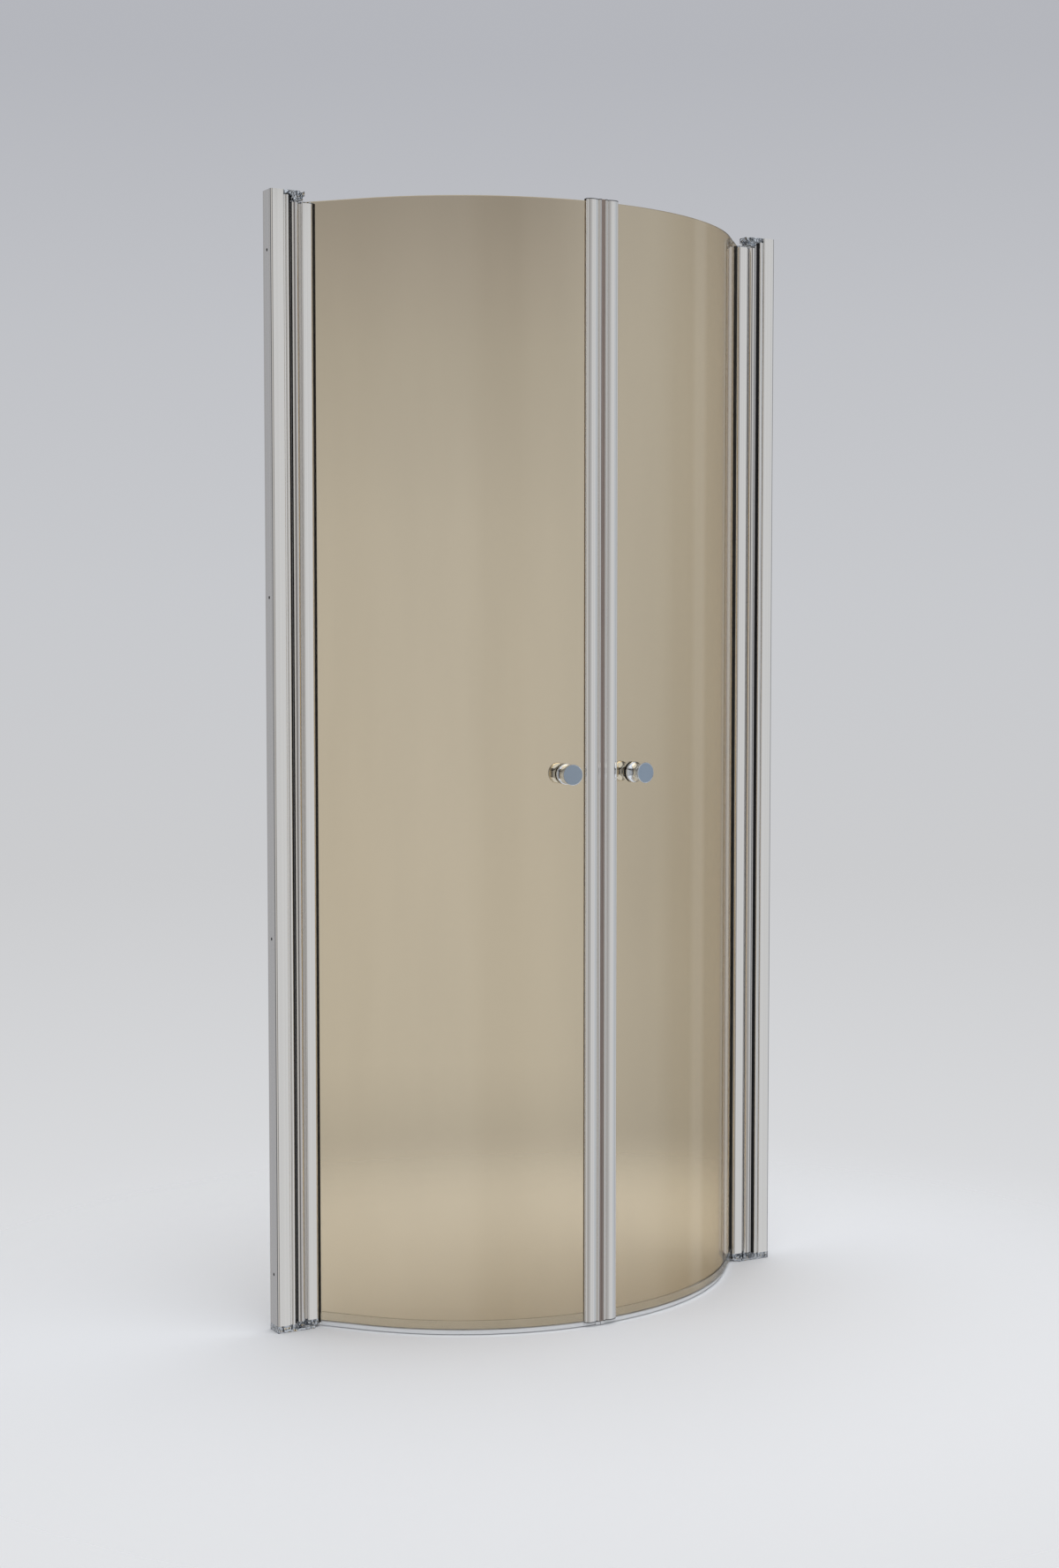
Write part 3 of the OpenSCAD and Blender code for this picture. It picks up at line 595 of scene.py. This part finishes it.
@dataclass
class GlassLeaf:
    """Bowed leaf of tinted safety glass with ground edges and a knob hole.

    Attributes:
        held: length that the pivot profile holds past the flat.
        rim_degrees: edges that turn more than this are ground, by arris.
        patch: half height of the band of smaller faces round the knob hole.
    """

    side: Side
    finishes: Finishes
    bow: Bow = Bow()
    bottom: float = 0.010
    top: float = 1.9365
    edge_from_middle: float = 0.014
    held: float = 0.013
    hole_radius: float = 0.007
    arris: float = 0.0007
    rim_degrees: float = 60.0
    patch: float = 0.014
    drill_length: float = 0.02
    steps: int = 96
    hole_steps: int = 48
    smooth_angle: float = 12.0

    def build(self) -> Piece:
        """Sweeps the edge face round the bow and along the flat.

        Returns:
            The glass leaf.
        """
        bow = self.bow
        bm = bmesh.new()
        outline = ((-bow.glass, self.bottom), (0, self.bottom), (0, self.top),
                   (-bow.glass, self.top))
        bow.sweep(bm, self.side.sign, outline, bow.angle(self.edge_from_middle),
                  bow.half_angle, self.steps, bow.flat + self.held)
        bmesh.ops.remove_doubles(bm, verts=bm.verts, dist=WELD)
        round_edges(bm, self.rim_degrees, self.arris)
        for height in (bow.knob_height - self.patch, bow.knob_height + self.patch):
            everything = [*bm.verts, *bm.edges, *bm.faces]
            bmesh.ops.bisect_plane(bm, geom=everything, dist=WELD,
                                   plane_co=(0, 0, height), plane_no=(0, 0, 1))
        leaf = finish_mesh(bm, f"glass_leaf_{self.side.value}", self.smooth_angle)
        self.drill(leaf)
        return leaf

    def drill(self, leaf: Piece) -> None:
        """Cuts the hole for the knob stud through the leaf.

        Args:
            leaf: the solid leaf.
        """
        direction = self.bow.outward(self.side.sign * self.bow.knob_angle)
        centre = self.bow.centre + direction * (self.bow.radius - self.bow.glass / 2)
        centre.z = self.bow.knob_height
        bm = bmesh.new()
        bmesh.ops.create_cone(bm, cap_ends=True, segments=self.hole_steps,
                              radius1=self.hole_radius, radius2=self.hole_radius,
                              depth=self.drill_length, matrix=stand(centre, direction))
        drill = finish_mesh(bm, "drill")
        cut = leaf.modifiers.new("knob_hole", "BOOLEAN")
        cut.operation = "DIFFERENCE"
        cut.solver = "EXACT"
        cut.object = drill
        bpy.context.view_layer.update()
        graph = bpy.context.evaluated_depsgraph_get()
        bored = bpy.data.meshes.new_from_object(leaf.evaluated_get(graph))
        leaf.modifiers.clear()
        leaf.data = bored
        bpy.data.objects.remove(drill)

    def fit(self) -> None:
        """Builds, dresses and hangs the leaf."""
        leaf = self.build()
        self.finishes.dress(leaf, "bronze_glass")
        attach(leaf, self.side.door)
        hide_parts(self.side.node("door_glass"))


@dataclass
class BottomSeal:
    """Clear clip seal under a leaf: two legs on the glass, a wiper and a drip fin.

    Past the closing profile only its lower part runs on, under the dark cap, to a
    small end stop beside the joint.

    Attributes:
        slack: play between legs and glass.
        tip: height of the wiper's tip.
        wiper_reach: reach of the wiper's four corners from the outer glass face.
        fin_heights: lower and upper height of the fin's edge above the wiper's tip.
        fin_root: inset of the fin's lower root, and drop of its upper root.
        fin_bevel: how far the fin's lower edge stands back.
        low_fin: drop of the lower run's fin root, and how much shorter that fin is.
        stop_play: how far the end stop stays below the web and above the wiper's tip.
        clip_from_middle: distance of the clip's end from the middle of the door.
        flat_end: length of the flat that the clip leaves free.
        overlap: length that a part runs on inside the next one.
        round_degrees: edges that turn more than this are rounded, by soften.
    """

    side: Side
    finishes: Finishes
    bow: Bow = Bow()
    glass_bottom: float = 0.010
    play: float = 0.00005
    leg: float = 0.015
    leg_tip: float = 0.0005
    leg_taper: float = 0.001
    wall: float = 0.0012
    slack: float = 0.00004
    tip: float = 0.0010
    wiper_reach: Limits = (-0.0022, -0.0031, -0.0039, -0.0036)
    fin_reach: float = 0.0058
    fin_heights: Pair = (0.0005, 0.0012)
    fin_root: Pair = (0.0001, 0.00013)
    fin_bevel: float = 0.0006
    low_fin: Pair = (0.0004, 0.0002)
    stop_play: Pair = (0.0001, 0.0004)
    clip_from_middle: float = 0.0325
    web_top: float = 0.0072
    end_from_middle: float = 0.0010
    stop_length: float = 0.0075
    flat_end: float = 0.003
    overlap: float = 0.0001
    step: float = math.radians(0.6)
    soften: float = 0.00012
    round_degrees: float = 35.0
    smooth_angle: float = 20.0

    def wiper(self, under: float) -> Outline:
        """Outline of the wiper, which hangs from the underside at a height."""
        heights = (under, self.tip, self.tip, under)
        return list(zip(self.wiper_reach, heights))

    def section(self) -> Outline:
        """Outline of the clip: reach from the glass face and height."""
        glass, wall, slack = self.bow.glass, self.wall, self.slack
        web = self.glass_bottom - self.play
        under = web - wall
        top = self.glass_bottom + self.leg
        inner = -glass - slack
        fin_low, fin_high = self.fin_heights
        inset, drop = self.fin_root
        return [
            (slack, web), (slack, top), (slack + self.leg_tip, top),
            (slack + wall, top - self.leg_taper), (slack + wall, under), *self.wiper(under),
            (inner - wall + inset, under),
            (inner - wall - self.fin_reach + self.fin_bevel, self.tip + fin_low),
            (inner - wall - self.fin_reach, self.tip + fin_high),
            (inner - wall, web - drop), (inner - wall, top - self.leg_taper),
            (inner - self.leg_tip, top), (inner, top), (inner, web),
        ]

    def low_section(self) -> Outline:
        """Outline of the part that runs under the closing profile."""
        under = self.web_top - self.wall
        outer = self.slack + self.wall
        inner = -self.bow.glass - self.slack - self.wall
        fin_low, fin_high = self.fin_heights
        drop, shorter = self.low_fin
        fin = inner - self.fin_reach + shorter
        return [
            (outer, self.web_top), (outer, under), *self.wiper(under), (inner, under - drop),
            (fin + self.fin_bevel, self.tip + fin_low), (fin, self.tip + fin_high),
            (inner, self.web_top),
        ]

    def stop_section(self) -> Outline:
        """Outline of the solid end stop."""
        outer = self.slack + self.wall
        inner = -self.bow.glass - self.slack - self.wall
        high, low = self.web_top - self.stop_play[0], self.tip + self.stop_play[1]
        return [(outer, high), (outer, low), (inner, low), (inner, high)]

    def build(self) -> Piece:
        """Sweeps the clip, its lower run and the end stop.

        Returns:
            The seal.
        """
        bow = self.bow
        stop_end = self.end_from_middle + self.stop_length
        runs = (
            (self.section(), self.clip_from_middle, bow.half_angle, bow.flat - self.flat_end),
            (self.low_section(), stop_end, bow.angle(self.clip_from_middle - self.overlap), 0.0),
            (self.stop_section(), self.end_from_middle, bow.angle(stop_end - self.overlap), 0.0),
        )
        bm = bmesh.new()
        for outline, from_middle, end, flat in runs:
            start = bow.angle(from_middle)
            steps = max(2, round((end - start) / self.step))
            bow.sweep(bm, self.side.sign, outline, start, end, steps, flat)
        round_edges(bm, self.round_degrees, self.soften)
        return finish_mesh(bm, f"clear_seal_{self.side.value}", self.smooth_angle)

    def fit(self) -> None:
        """Builds, dresses and hangs the seal."""
        seal = self.build()
        self.finishes.dress(seal, "clear_seal")
        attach(seal, self.side.door)
        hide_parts(self.side.node("bottom_seal"))


@dataclass
class DoorKnob:
    """Turned knob with base flange, scooped waist, round head and satin disc.

    Attributes:
        washer: thickness of the dark ring between knob and glass.
        fullness: below 1 the waist is scooped more fully than a sine.
        flange: height of the flange, and of the head.
        shoulder: how far the waist starts inside the flange.
        round_middle: share of a round's width that its middle point takes off.
        seat: depth of the seat of the disc.
        disc_low: play under the disc.
        disc_sunk: how far the disc lies below the rim.
    """

    side: Side
    face: Face
    finishes: Finishes
    bow: Bow = Bow()
    washer: float = 0.0012
    radius: float = 0.018
    waist: float = 0.0125
    waist_steps: int = 24
    fullness: float = 0.8
    length: float = 0.0325
    flange: float = 0.0036
    shoulder: float = 0.001
    flange_round: float = 0.0009
    base_round: float = 0.0005
    round_middle: float = 0.3
    head_inset: float = 0.0002
    seat: float = 0.0014
    disc_gap: float = 0.00006
    rim: float = 0.0011
    bevel: float = 0.0002
    disc_low: float = 0.00002
    disc_sunk: float = 0.00025
    steps: int = 96
    smooth_angle: float = 24.0

    @property
    def outward(self) -> Vector:
        """Direction from the glass to the knob's face."""
        direction = self.bow.outward(self.side.sign * self.bow.knob_angle)
        return direction if self.face is Face.OUTER else -direction

    @property
    def base(self) -> Vector:
        """Centre of the knob's base."""
        middle = self.bow.outward(self.side.sign * self.bow.knob_angle)
        reach = self.bow.radius + self.washer
        if self.face is Face.INNER:
            reach = self.bow.radius - self.bow.glass - self.washer
        point = self.bow.centre + middle * reach
        point.z = self.bow.knob_height
        return point

    def turned(self, outline: Outline, name: str) -> Piece:
        """Turns an outline round the knob's axis.

        Args:
            outline: radius and height of each point, from the axis to the axis.
            name: name of the piece.

        Returns:
            The turned piece in its place.
        """
        bm = bmesh.new()
        points = [bm.verts.new((radius, 0.0, height)) for radius, height in outline]
        edges = [bm.edges.new(pair) for pair in zip(points, points[1:])]
        bmesh.ops.spin(bm, geom=points + edges, cent=(0, 0, 0), axis=(0, 0, 1),
                       angle=math.tau, steps=self.steps, use_merge=True, use_duplicate=False)
        bmesh.ops.remove_doubles(bm, verts=bm.verts, dist=WELD)
        bmesh.ops.transform(bm, matrix=stand(self.base, self.outward), verts=bm.verts)
        return finish_mesh(bm, name, self.smooth_angle)

    def body_outline(self) -> Outline:
        """Outline of the chrome body with its waist and rounded rims."""
        r, low, high = self.radius, self.flange, self.length
        waist, head, seat = r - self.shoulder, r - self.head_inset, r - self.rim - self.bevel
        scooped = []
        for step in range(1, self.waist_steps):
            t = step / self.waist_steps
            scoop = (waist - self.waist) * math.sin(math.pi * t) ** self.fullness
            scooped.append((waist - scoop, low + (high - 2 * low) * t))
        small, large = self.base_round * self.round_middle, self.shoulder * self.round_middle
        return [
            (0.0, 0.0), (r - self.base_round, 0.0), (r - small, small), (r, self.base_round),
            (r, low - self.flange_round), (r - large, low - large), (waist, low), *scooped,
            (waist, high - low), (head - self.head_inset, high - low + large),
            (head, high - low + self.shoulder), (head, high - self.base_round),
            (head - small, high - small), (head - self.base_round, high), (r - self.rim, high),
            (seat, high - self.bevel), (seat, high - self.seat), (0.0, high - self.seat),
        ]

    def disc_outline(self) -> Outline:
        """Outline of the satin disc in its seat."""
        r = self.radius - self.rim - self.bevel - self.disc_gap
        low, high = self.length - self.seat + self.disc_low, self.length - self.disc_sunk
        return [(0.0, low), (r, low), (r, high - self.bevel), (r - self.bevel, high), (0.0, high)]

    def build(self) -> list[Piece]:
        """Turns body and disc and dresses them.

        Returns:
            The body and the disc.
        """
        tag = f"{self.face.value}_{self.side.value}"
        body = self.turned(self.body_outline(), f"knob_body_{tag}")
        self.finishes.dress(body, "chrome")
        disc = self.turned(self.disc_outline(), f"knob_disc_{tag}")
        satin = SatinDisc(
            f"satin_disc_{tag}", (0.38, 0.46, 0.56), Marks((4200, 0, 0)), tone=(0.93, 1.06),
            gloss=(0.26, 0.36), relief=0.00003, metallic=1.0,
            centre=tuple(self.base), turn=-self.side.sign * self.bow.knob_angle)
        disc.data.materials.append(satin.material())
        return [body, disc]

    def fit(self) -> None:
        """Builds the knob and fixes it to its leaf."""
        body, disc = self.build()
        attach(body, self.side.door)
        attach(disc, self.side.door)
        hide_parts(self.side.node(f"{self.face.value}_knob"))
        if self.face is Face.OUTER:
            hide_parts(self.side.node("knob_inserts"))


@dataclass
class ChromeCastings:
    """Chrome bracket, foot and end caps with eased edges."""

    side: Side
    finishes: Finishes
    ease: float = 0.0004
    eased_angle: float = math.radians(40.0)

    def fit(self) -> None:
        """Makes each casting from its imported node, with a live bevel."""
        parts = {
            "top_bracket": ("bracket", "frame", "bracket_chrome"),
            "foot_block": ("foot", "frame", "foot_chrome"),
            "pivot_caps": ("pivot_shoe", self.side.door, "foot_chrome"),
        }
        for node, (name, body, finish) in parts.items():
            piece = merged_copy(self.side.node(node), f"{name}_{self.side.value}")
            bevel = piece.modifiers.new("eased_edges", "BEVEL")
            bevel.width = self.ease
            bevel.segments = ROUND_STEPS
            bevel.limit_method = "ANGLE"
            bevel.angle_limit = self.eased_angle
            bevel.use_clamp_overlap = True
            bevel.harden_normals = True
            self.finishes.dress(piece, finish)
            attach(piece, body)
            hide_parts(self.side.node(node))


@dataclass
class GapSeal:
    """Black bulb seal that closes the gap between the post and the pivot tube.

    Plan positions are measured inwards from the wall and back from the profile's face.

    Attributes:
        radii: half width and half depth of the bulb.
        post: edge of the post, where the bulb is cut off.
        stem: inner, outer, front and back limit of the stem.
        foot: the same of the foot.
    """

    side: Side
    finishes: Finishes
    wall: float = 0.513
    face: float = 0.1081179
    centre: Pair = (0.0350, 0.0054)
    radii: Pair = (0.0024, 0.0026)
    post: float = 0.03302
    stem: Limits = (0.0301, 0.0333, 0.0034, 0.0058)
    foot: Limits = (0.0301, 0.0315, 0.0024, 0.0068)
    heights: Pair = (0.013, 1.941)
    steps: int = 48

    def build(self) -> Piece:
        """Draws the bulb, its stem and its foot up from their plan.

        Returns:
            The seal.
        """
        bm = bmesh.new()
        oval = Matrix.Translation((*self.centre, 0)) @ Matrix.Diagonal((*self.radii, 1, 1))
        bmesh.ops.create_circle(bm, cap_ends=True, segments=self.steps, radius=1.0, matrix=oval)
        bmesh.ops.bisect_plane(bm, geom=[*bm.verts, *bm.edges, *bm.faces], dist=WELD / 10,
                               plane_co=(self.post, 0, 0), plane_no=(1, 0, 0),
                               clear_inner=True)
        for near, far, front, back in (self.stem, self.foot):
            middle = ((near + far) / 2, (front + back) / 2, 0)
            plan = Matrix.Translation(middle) @ Matrix.Diagonal((far - near, back - front, 1, 1))
            bmesh.ops.create_grid(bm, x_segments=1, y_segments=1, size=0.5, matrix=plan)
        low, high = self.heights
        drawn = bmesh.ops.extrude_face_region(bm, geom=list(bm.faces), use_keep_orig=True)
        bmesh.ops.translate(bm, verts=points_of(drawn["geom"]), vec=(0, 0, high - low))
        sign = self.side.sign
        for vert in bm.verts:
            vert.co = (sign * (self.wall - vert.co.x), self.face + vert.co.y, low + vert.co.z)
        return finish_mesh(bm, f"bulb_seal_{self.side.value}")

    def fit(self) -> None:
        """Builds, dresses and hangs the seal."""
        seal = self.build()
        self.finishes.dress(seal, "black_rubber")
        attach(seal, "frame")
        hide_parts(self.side.node("gap_seal"))


@dataclass
class GlassRubber:
    """Black rubber of the pivot wing, with its lips drawn close to the wing.

    Attributes:
        lip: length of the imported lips.
        shown: share of it that is left.
    """

    side: Side
    finishes: Finishes
    bow: Bow = Bow()
    lip: float = 0.00178
    shown: float = 0.45

    def fit(self) -> None:
        """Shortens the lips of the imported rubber, dresses it and hangs it."""
        rubber = merged_copy(self.side.node("glass_rubber"), f"leaf_rubber_{self.side.value}")
        angle = self.bow.half_angle
        inward = Vector((-self.side.sign * math.cos(angle), -math.sin(angle), 0.0))
        tip = max(vert.co.dot(inward) for vert in rubber.data.vertices)
        for vert in rubber.data.vertices:
            past = vert.co.dot(inward) - (tip - self.lip)
            if past > 0:
                vert.co -= inward * past * (1 - self.shown)
        self.finishes.dress(rubber, "glass_rubber")
        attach(rubber, self.side.door)
        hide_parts(self.side.node("glass_rubber"))


@dataclass
class PackedPieces:
    """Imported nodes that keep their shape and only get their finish."""

    finishes: Finishes

    def dress(self) -> None:
        """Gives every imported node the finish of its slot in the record."""
        slots = {part["node"]: part["material_slot"] for part in frame["record"]["subparts"]}
        for name, node in frame["nodes"].items():
            slot = slots[name]
            if slot in self.finishes.by_slot:
                self.finishes.dress(node, slot)
            log.info("%s: %s", name, slot)


# Studio


@dataclass(frozen=True)
class SoftBox:
    """One rectangular studio lamp that points at the door."""

    name: str
    position: Point
    size: Pair
    power: float
    target: Point = (0.0, 0.0, 0.95)

    def place(self) -> None:
        """Adds the lamp to the scene."""
        data = bpy.data.lights.new(self.name, "AREA")
        data.shape = "RECTANGLE"
        data.size, data.size_y = self.size
        data.energy = self.power
        lamp = bpy.data.objects.new(self.name, data)
        lamp.location = self.position
        aim = Vector(self.target) - Vector(self.position)
        lamp.rotation_euler = aim.to_track_quat("-Z", "Y").to_euler()
        lamp.visible_glossy = False
        bpy.context.scene.collection.objects.link(lamp)


@dataclass(frozen=True)
class ReflectedRoom:
    """Round wall of lighter and darker bays that only the bright metal and glass reflect.

    What is seen through the glass passes the wall as through gauze, which lets the
    surroundings through a little shaded towards the top.

    Attributes:
        low: height of its lower edge.
        high: height of its upper edge.
        bays: heading in degrees, right of the front, and the light level there.
        storeys: height, and the share of the light level there.
        gauze: height, and the share of light that the wall lets through.
        even_gauze: the same over the even headings.
        even: heading in degrees, and how far the gauze is even there.
    """

    radius: float = 6.0
    steps: int = 128
    low: float = -4.0
    high: float = 7.0
    bays: Stops = (
        (-180, (0.44, 0.44, 0.45)), (-155.5, (0.38, 0.38, 0.39)), (-151.5, (0.38, 0.38, 0.39)),
        (-150, (0.66, 0.65, 0.66)), (-147, (0.66, 0.65, 0.66)), (-144, (0.03, 0.03, 0.035)),
        (-138, (0.36, 0.36, 0.37)), (-131, (0.36, 0.36, 0.37)), (-127, (0.03, 0.03, 0.035)),
        (-100, (0.03, 0.03, 0.035)), (-95, grey(0.40)), (-73, (0.45, 0.44, 0.42)),
        (-60, (0.57, 0.55, 0.52)), (-30, (0.57, 0.55, 0.52)), (-21, (0.12, 0.11, 0.11)),
        (-8, (0.12, 0.11, 0.11)), (-2, (0.38, 0.37, 0.36)), (19, (0.665, 0.665, 0.66)),
        (30, (0.60, 0.60, 0.605)), (38, (0.66, 0.66, 0.655)), (48, (0.56, 0.58, 0.61)),
        (60, (0.50, 0.52, 0.54)), (72, (0.12, 0.12, 0.13)), (83, (0.12, 0.12, 0.13)),
        (87, (0.46, 0.46, 0.47)), (93, (0.46, 0.46, 0.47)), (97, (0.12, 0.12, 0.13)),
        (131, (0.30, 0.29, 0.27)), (180, (0.44, 0.44, 0.45)))
    storeys: Stops = (
        (3.2, grey(1.0)), (3.45, grey(0.12)), (4.7, grey(0.12)), (5.0, grey(1.0)))
    gauze: Stops = (
        (-1.03, grey(0.75)), (-0.65, grey(0.90)), (0.2, grey(1.0)), (1.68, grey(1.0)),
        (2.04, grey(0.95)), (2.42, (0.905, 0.905, 0.895)), (2.81, (0.82, 0.81, 0.805)),
        (3.04, (0.75, 0.74, 0.735)), (3.3, grey(0.69)))
    even_gauze: Stops = (
        (-1.03, (0.66, 0.667, 0.675)), (-0.26, (0.786, 0.795, 0.804)),
        (0.52, (0.825, 0.834, 0.844)), (0.91, (0.87, 0.88, 0.89)),
        (1.68, (0.915, 0.925, 0.936)), (2.42, (0.975, 0.988, 1.0)))
    even: Stops = ((136, grey(0.0)), (141, grey(1.0)), (147, grey(1.0)), (151, grey(0.0)))

    def place(self) -> None:
        """Adds the wall, which lights nothing and is seen in reflections alone."""
        bm = bmesh.new()
        ring = bmesh.ops.create_circle(bm, segments=self.steps, radius=self.radius,
                                       matrix=Matrix.Translation((0, 0, self.low)))
        edges = list({e for v in ring["verts"] for e in v.link_edges})
        wall = bmesh.ops.extrude_edge_only(bm, edges=edges)
        bmesh.ops.translate(bm, verts=points_of(wall["geom"]), vec=(0, 0, self.high - self.low))
        room = finish_mesh(bm, "reflected_room")
        room.data.materials.append(self.finish())
        room.visible_camera = False
        room.visible_diffuse = False
        room.visible_volume_scatter = False
        room.visible_shadow = False

    def round(self, stops: Stops) -> Stops:
        """Headings of some stops as shares of the whole circle."""
        return tuple(((degrees + 180) / 360, level) for degrees, level in stops)

    def upright(self, stops: Stops) -> Stops:
        """Heights of some stops as shares of the wall's height."""
        return tuple(((height - self.low) / (self.high - self.low), level)
                     for height, level in stops)

    def finish(self) -> bpy.types.Material:
        """Light bays that change with the heading, and gauze for the view through the glass.

        Returns:
            The material of the wall.
        """
        bench = Bench("reflected_room")
        split = bench.add("ShaderNodeSeparateXYZ", bench.place((1, -1, 1)))
        heading = bench.add("ShaderNodeMath", split.outputs["X"], split.outputs["Y"],
                            operation="ARCTAN2")
        share = bench.span(heading.outputs[0], 0.0, 1.0, (-math.pi, math.pi))
        rise = bench.span(split.outputs["Z"], 0.0, 1.0, (self.low, self.high))
        light = bench.add("ShaderNodeVectorMath", bench.ramp(share, self.round(self.bays)),
                          bench.ramp(rise, self.upright(self.storeys)), operation="MULTIPLY")
        glow = bench.add("ShaderNodeEmission", light.outputs[0])
        cloth = bench.blend(bench.ramp(share, self.round(self.even)),
                            bench.ramp(rise, self.upright(self.gauze)),
                            bench.ramp(rise, self.upright(self.even_gauze)))
        through = bench.add("ShaderNodeBsdfTransparent", cloth)
        path = bench.add("ShaderNodeLightPath")
        seen = bench.blend(path.outputs["Is Transmission Ray"], glow.outputs[0],
                           through.outputs[0])
        bench.join(seen, bench.output.inputs["Surface"])
        bench.material.cycles.emission_sampling = "NONE"
        return bench.material


@dataclass
class Studio:
    """Camera, plain pale floor, soft lamp and pale surroundings.

    Attributes:
        pitch: tilt of the camera, where a right angle looks level.
        heading: turn of the camera from +Y.
        lens: focal length in millimetres.
        sensor: width of the film in millimetres.
        backdrop: sine of the height angle, and the colour that is seen there.
        floor_sunk: how far the floor lies below the feet.
        floor_fade: radii where the floor starts to fade and has faded.
    """

    eye: Point = (-2.0389, -3.5251, 1.1904)
    pitch: float = math.radians(86.494)
    heading: float = math.radians(-29.095)
    lens: float = 53.01
    sensor: float = 36.0
    reach: float = 60.0
    ambient: Colour = (0.66, 0.67, 0.69)
    backdrop: Stops = (
        (-0.62, (0.90, 0.90, 0.91)), (-0.50, (0.77, 0.78, 0.80)), (-0.30, (0.75, 0.76, 0.78)),
        (-0.10, (0.60, 0.605, 0.62)), (0.02, (0.575, 0.585, 0.61)), (0.13, (0.53, 0.54, 0.57)),
        (0.24, (0.46, 0.47, 0.505)), (0.64, (0.46, 0.47, 0.505)), (0.72, grey(1.0)))
    floor_colour: Colour = (0.83, 0.84, 0.86)
    floor_radius: float = 3.0
    floor_steps: int = 96
    floor_sunk: float = 0.0002
    floor_fade: Pair = (0.55, 1.7)

    def camera(self) -> None:
        """Sets the camera at the photograph's viewing angle."""
        data = bpy.data.cameras.new("camera")
        data.lens = self.lens
        data.sensor_width = self.sensor
        data.sensor_fit = "AUTO"
        data.clip_end = self.reach
        eye = bpy.data.objects.new("camera", data)
        eye.location = self.eye
        eye.rotation_euler = (self.pitch, 0.0, self.heading)
        bpy.context.scene.collection.objects.link(eye)
        bpy.context.scene.camera = eye

    def floor(self) -> None:
        """Lays a round floor that fades into the surroundings away from the door."""
        bm = bmesh.new()
        bmesh.ops.create_circle(bm, cap_ends=True, segments=self.floor_steps,
                                radius=self.floor_radius,
                                matrix=Matrix.Translation((0, 0, -self.floor_sunk)))
        floor = finish_mesh(bm, "studio_floor")
        bench = Bench("studio_floor")
        bench.set(base_color=self.floor_colour, roughness=0.6, specular_ior_level=0.2)
        share = bench.add("ShaderNodeMapRange", bench.radius(bench.place((1, 1, 0))),
                          interpolation_type="SMOOTHERSTEP",
                          From_Min=self.floor_fade[0], From_Max=self.floor_fade[1])
        clear = bench.add("ShaderNodeBsdfTransparent")
        seen = bench.blend(share.outputs["Result"], bench.shader.outputs[0], clear.outputs[0])
        bench.join(seen, bench.output.inputs["Surface"])
        floor.data.materials.append(bench.material)
        floor.visible_glossy = False

    def surroundings(self) -> None:
        """Pale surroundings, and the even light that they give."""
        world = bpy.data.worlds.new("studio")
        bpy.context.scene.world = world
        world.use_nodes = True
        nodes = Nodes(world.node_tree)
        path = nodes.add("ShaderNodeLightPath")
        seen = path.outputs["Is Camera Ray"]
        for kind in ("Is Transmission Ray", "Is Glossy Ray"):
            either = nodes.add("ShaderNodeMath", seen, path.outputs[kind], operation="MAXIMUM")
            seen = either.outputs[0]
        direction = nodes.add("ShaderNodeTexCoord")
        split = nodes.add("ShaderNodeSeparateXYZ", direction.outputs["Generated"])
        rise = nodes.span(split.outputs["Z"], 0.0, 1.0, (-1.0, 1.0))
        stops = tuple(((height + 1) / 2, colour) for height, colour in self.backdrop)
        even = nodes.add("ShaderNodeRGB")
        even.outputs[0].default_value = (*self.ambient, 1.0)
        colour = nodes.blend(seen, even.outputs[0], nodes.ramp(rise, stops))
        background = nodes.add("ShaderNodeBackground", colour)
        nodes.add("ShaderNodeOutputWorld", background.outputs[0])

    def build(self) -> None:
        """Sets up the studio."""
        self.camera()
        self.floor()
        self.surroundings()
        SoftBox("overhead_box", position=(0.2, -0.5, 3.8), size=(3.2, 2.6), power=64.0).place()
        ReflectedRoom().place()
        bpy.context.scene.view_settings.view_transform = "Standard"
        log.info("studio ready")


def main() -> None:
    """Builds the studio and dresses the door, piece by piece."""
    logging.basicConfig(level=logging.INFO, format="%(name)s: %(message)s")
    Studio().build()
    finishes = Finishes()
    PackedPieces(finishes).dress()
    for side in Side:
        ChromeCastings(side, finishes).fit()
        GapSeal(side, finishes).fit()
        GlassRubber(side, finishes).fit()
        GlassLeaf(side, finishes).fit()
        BottomSeal(side, finishes).fit()
        for face in Face:
            DoorKnob(side, face, finishes).fit()


if __name__ == "__main__":
    main()
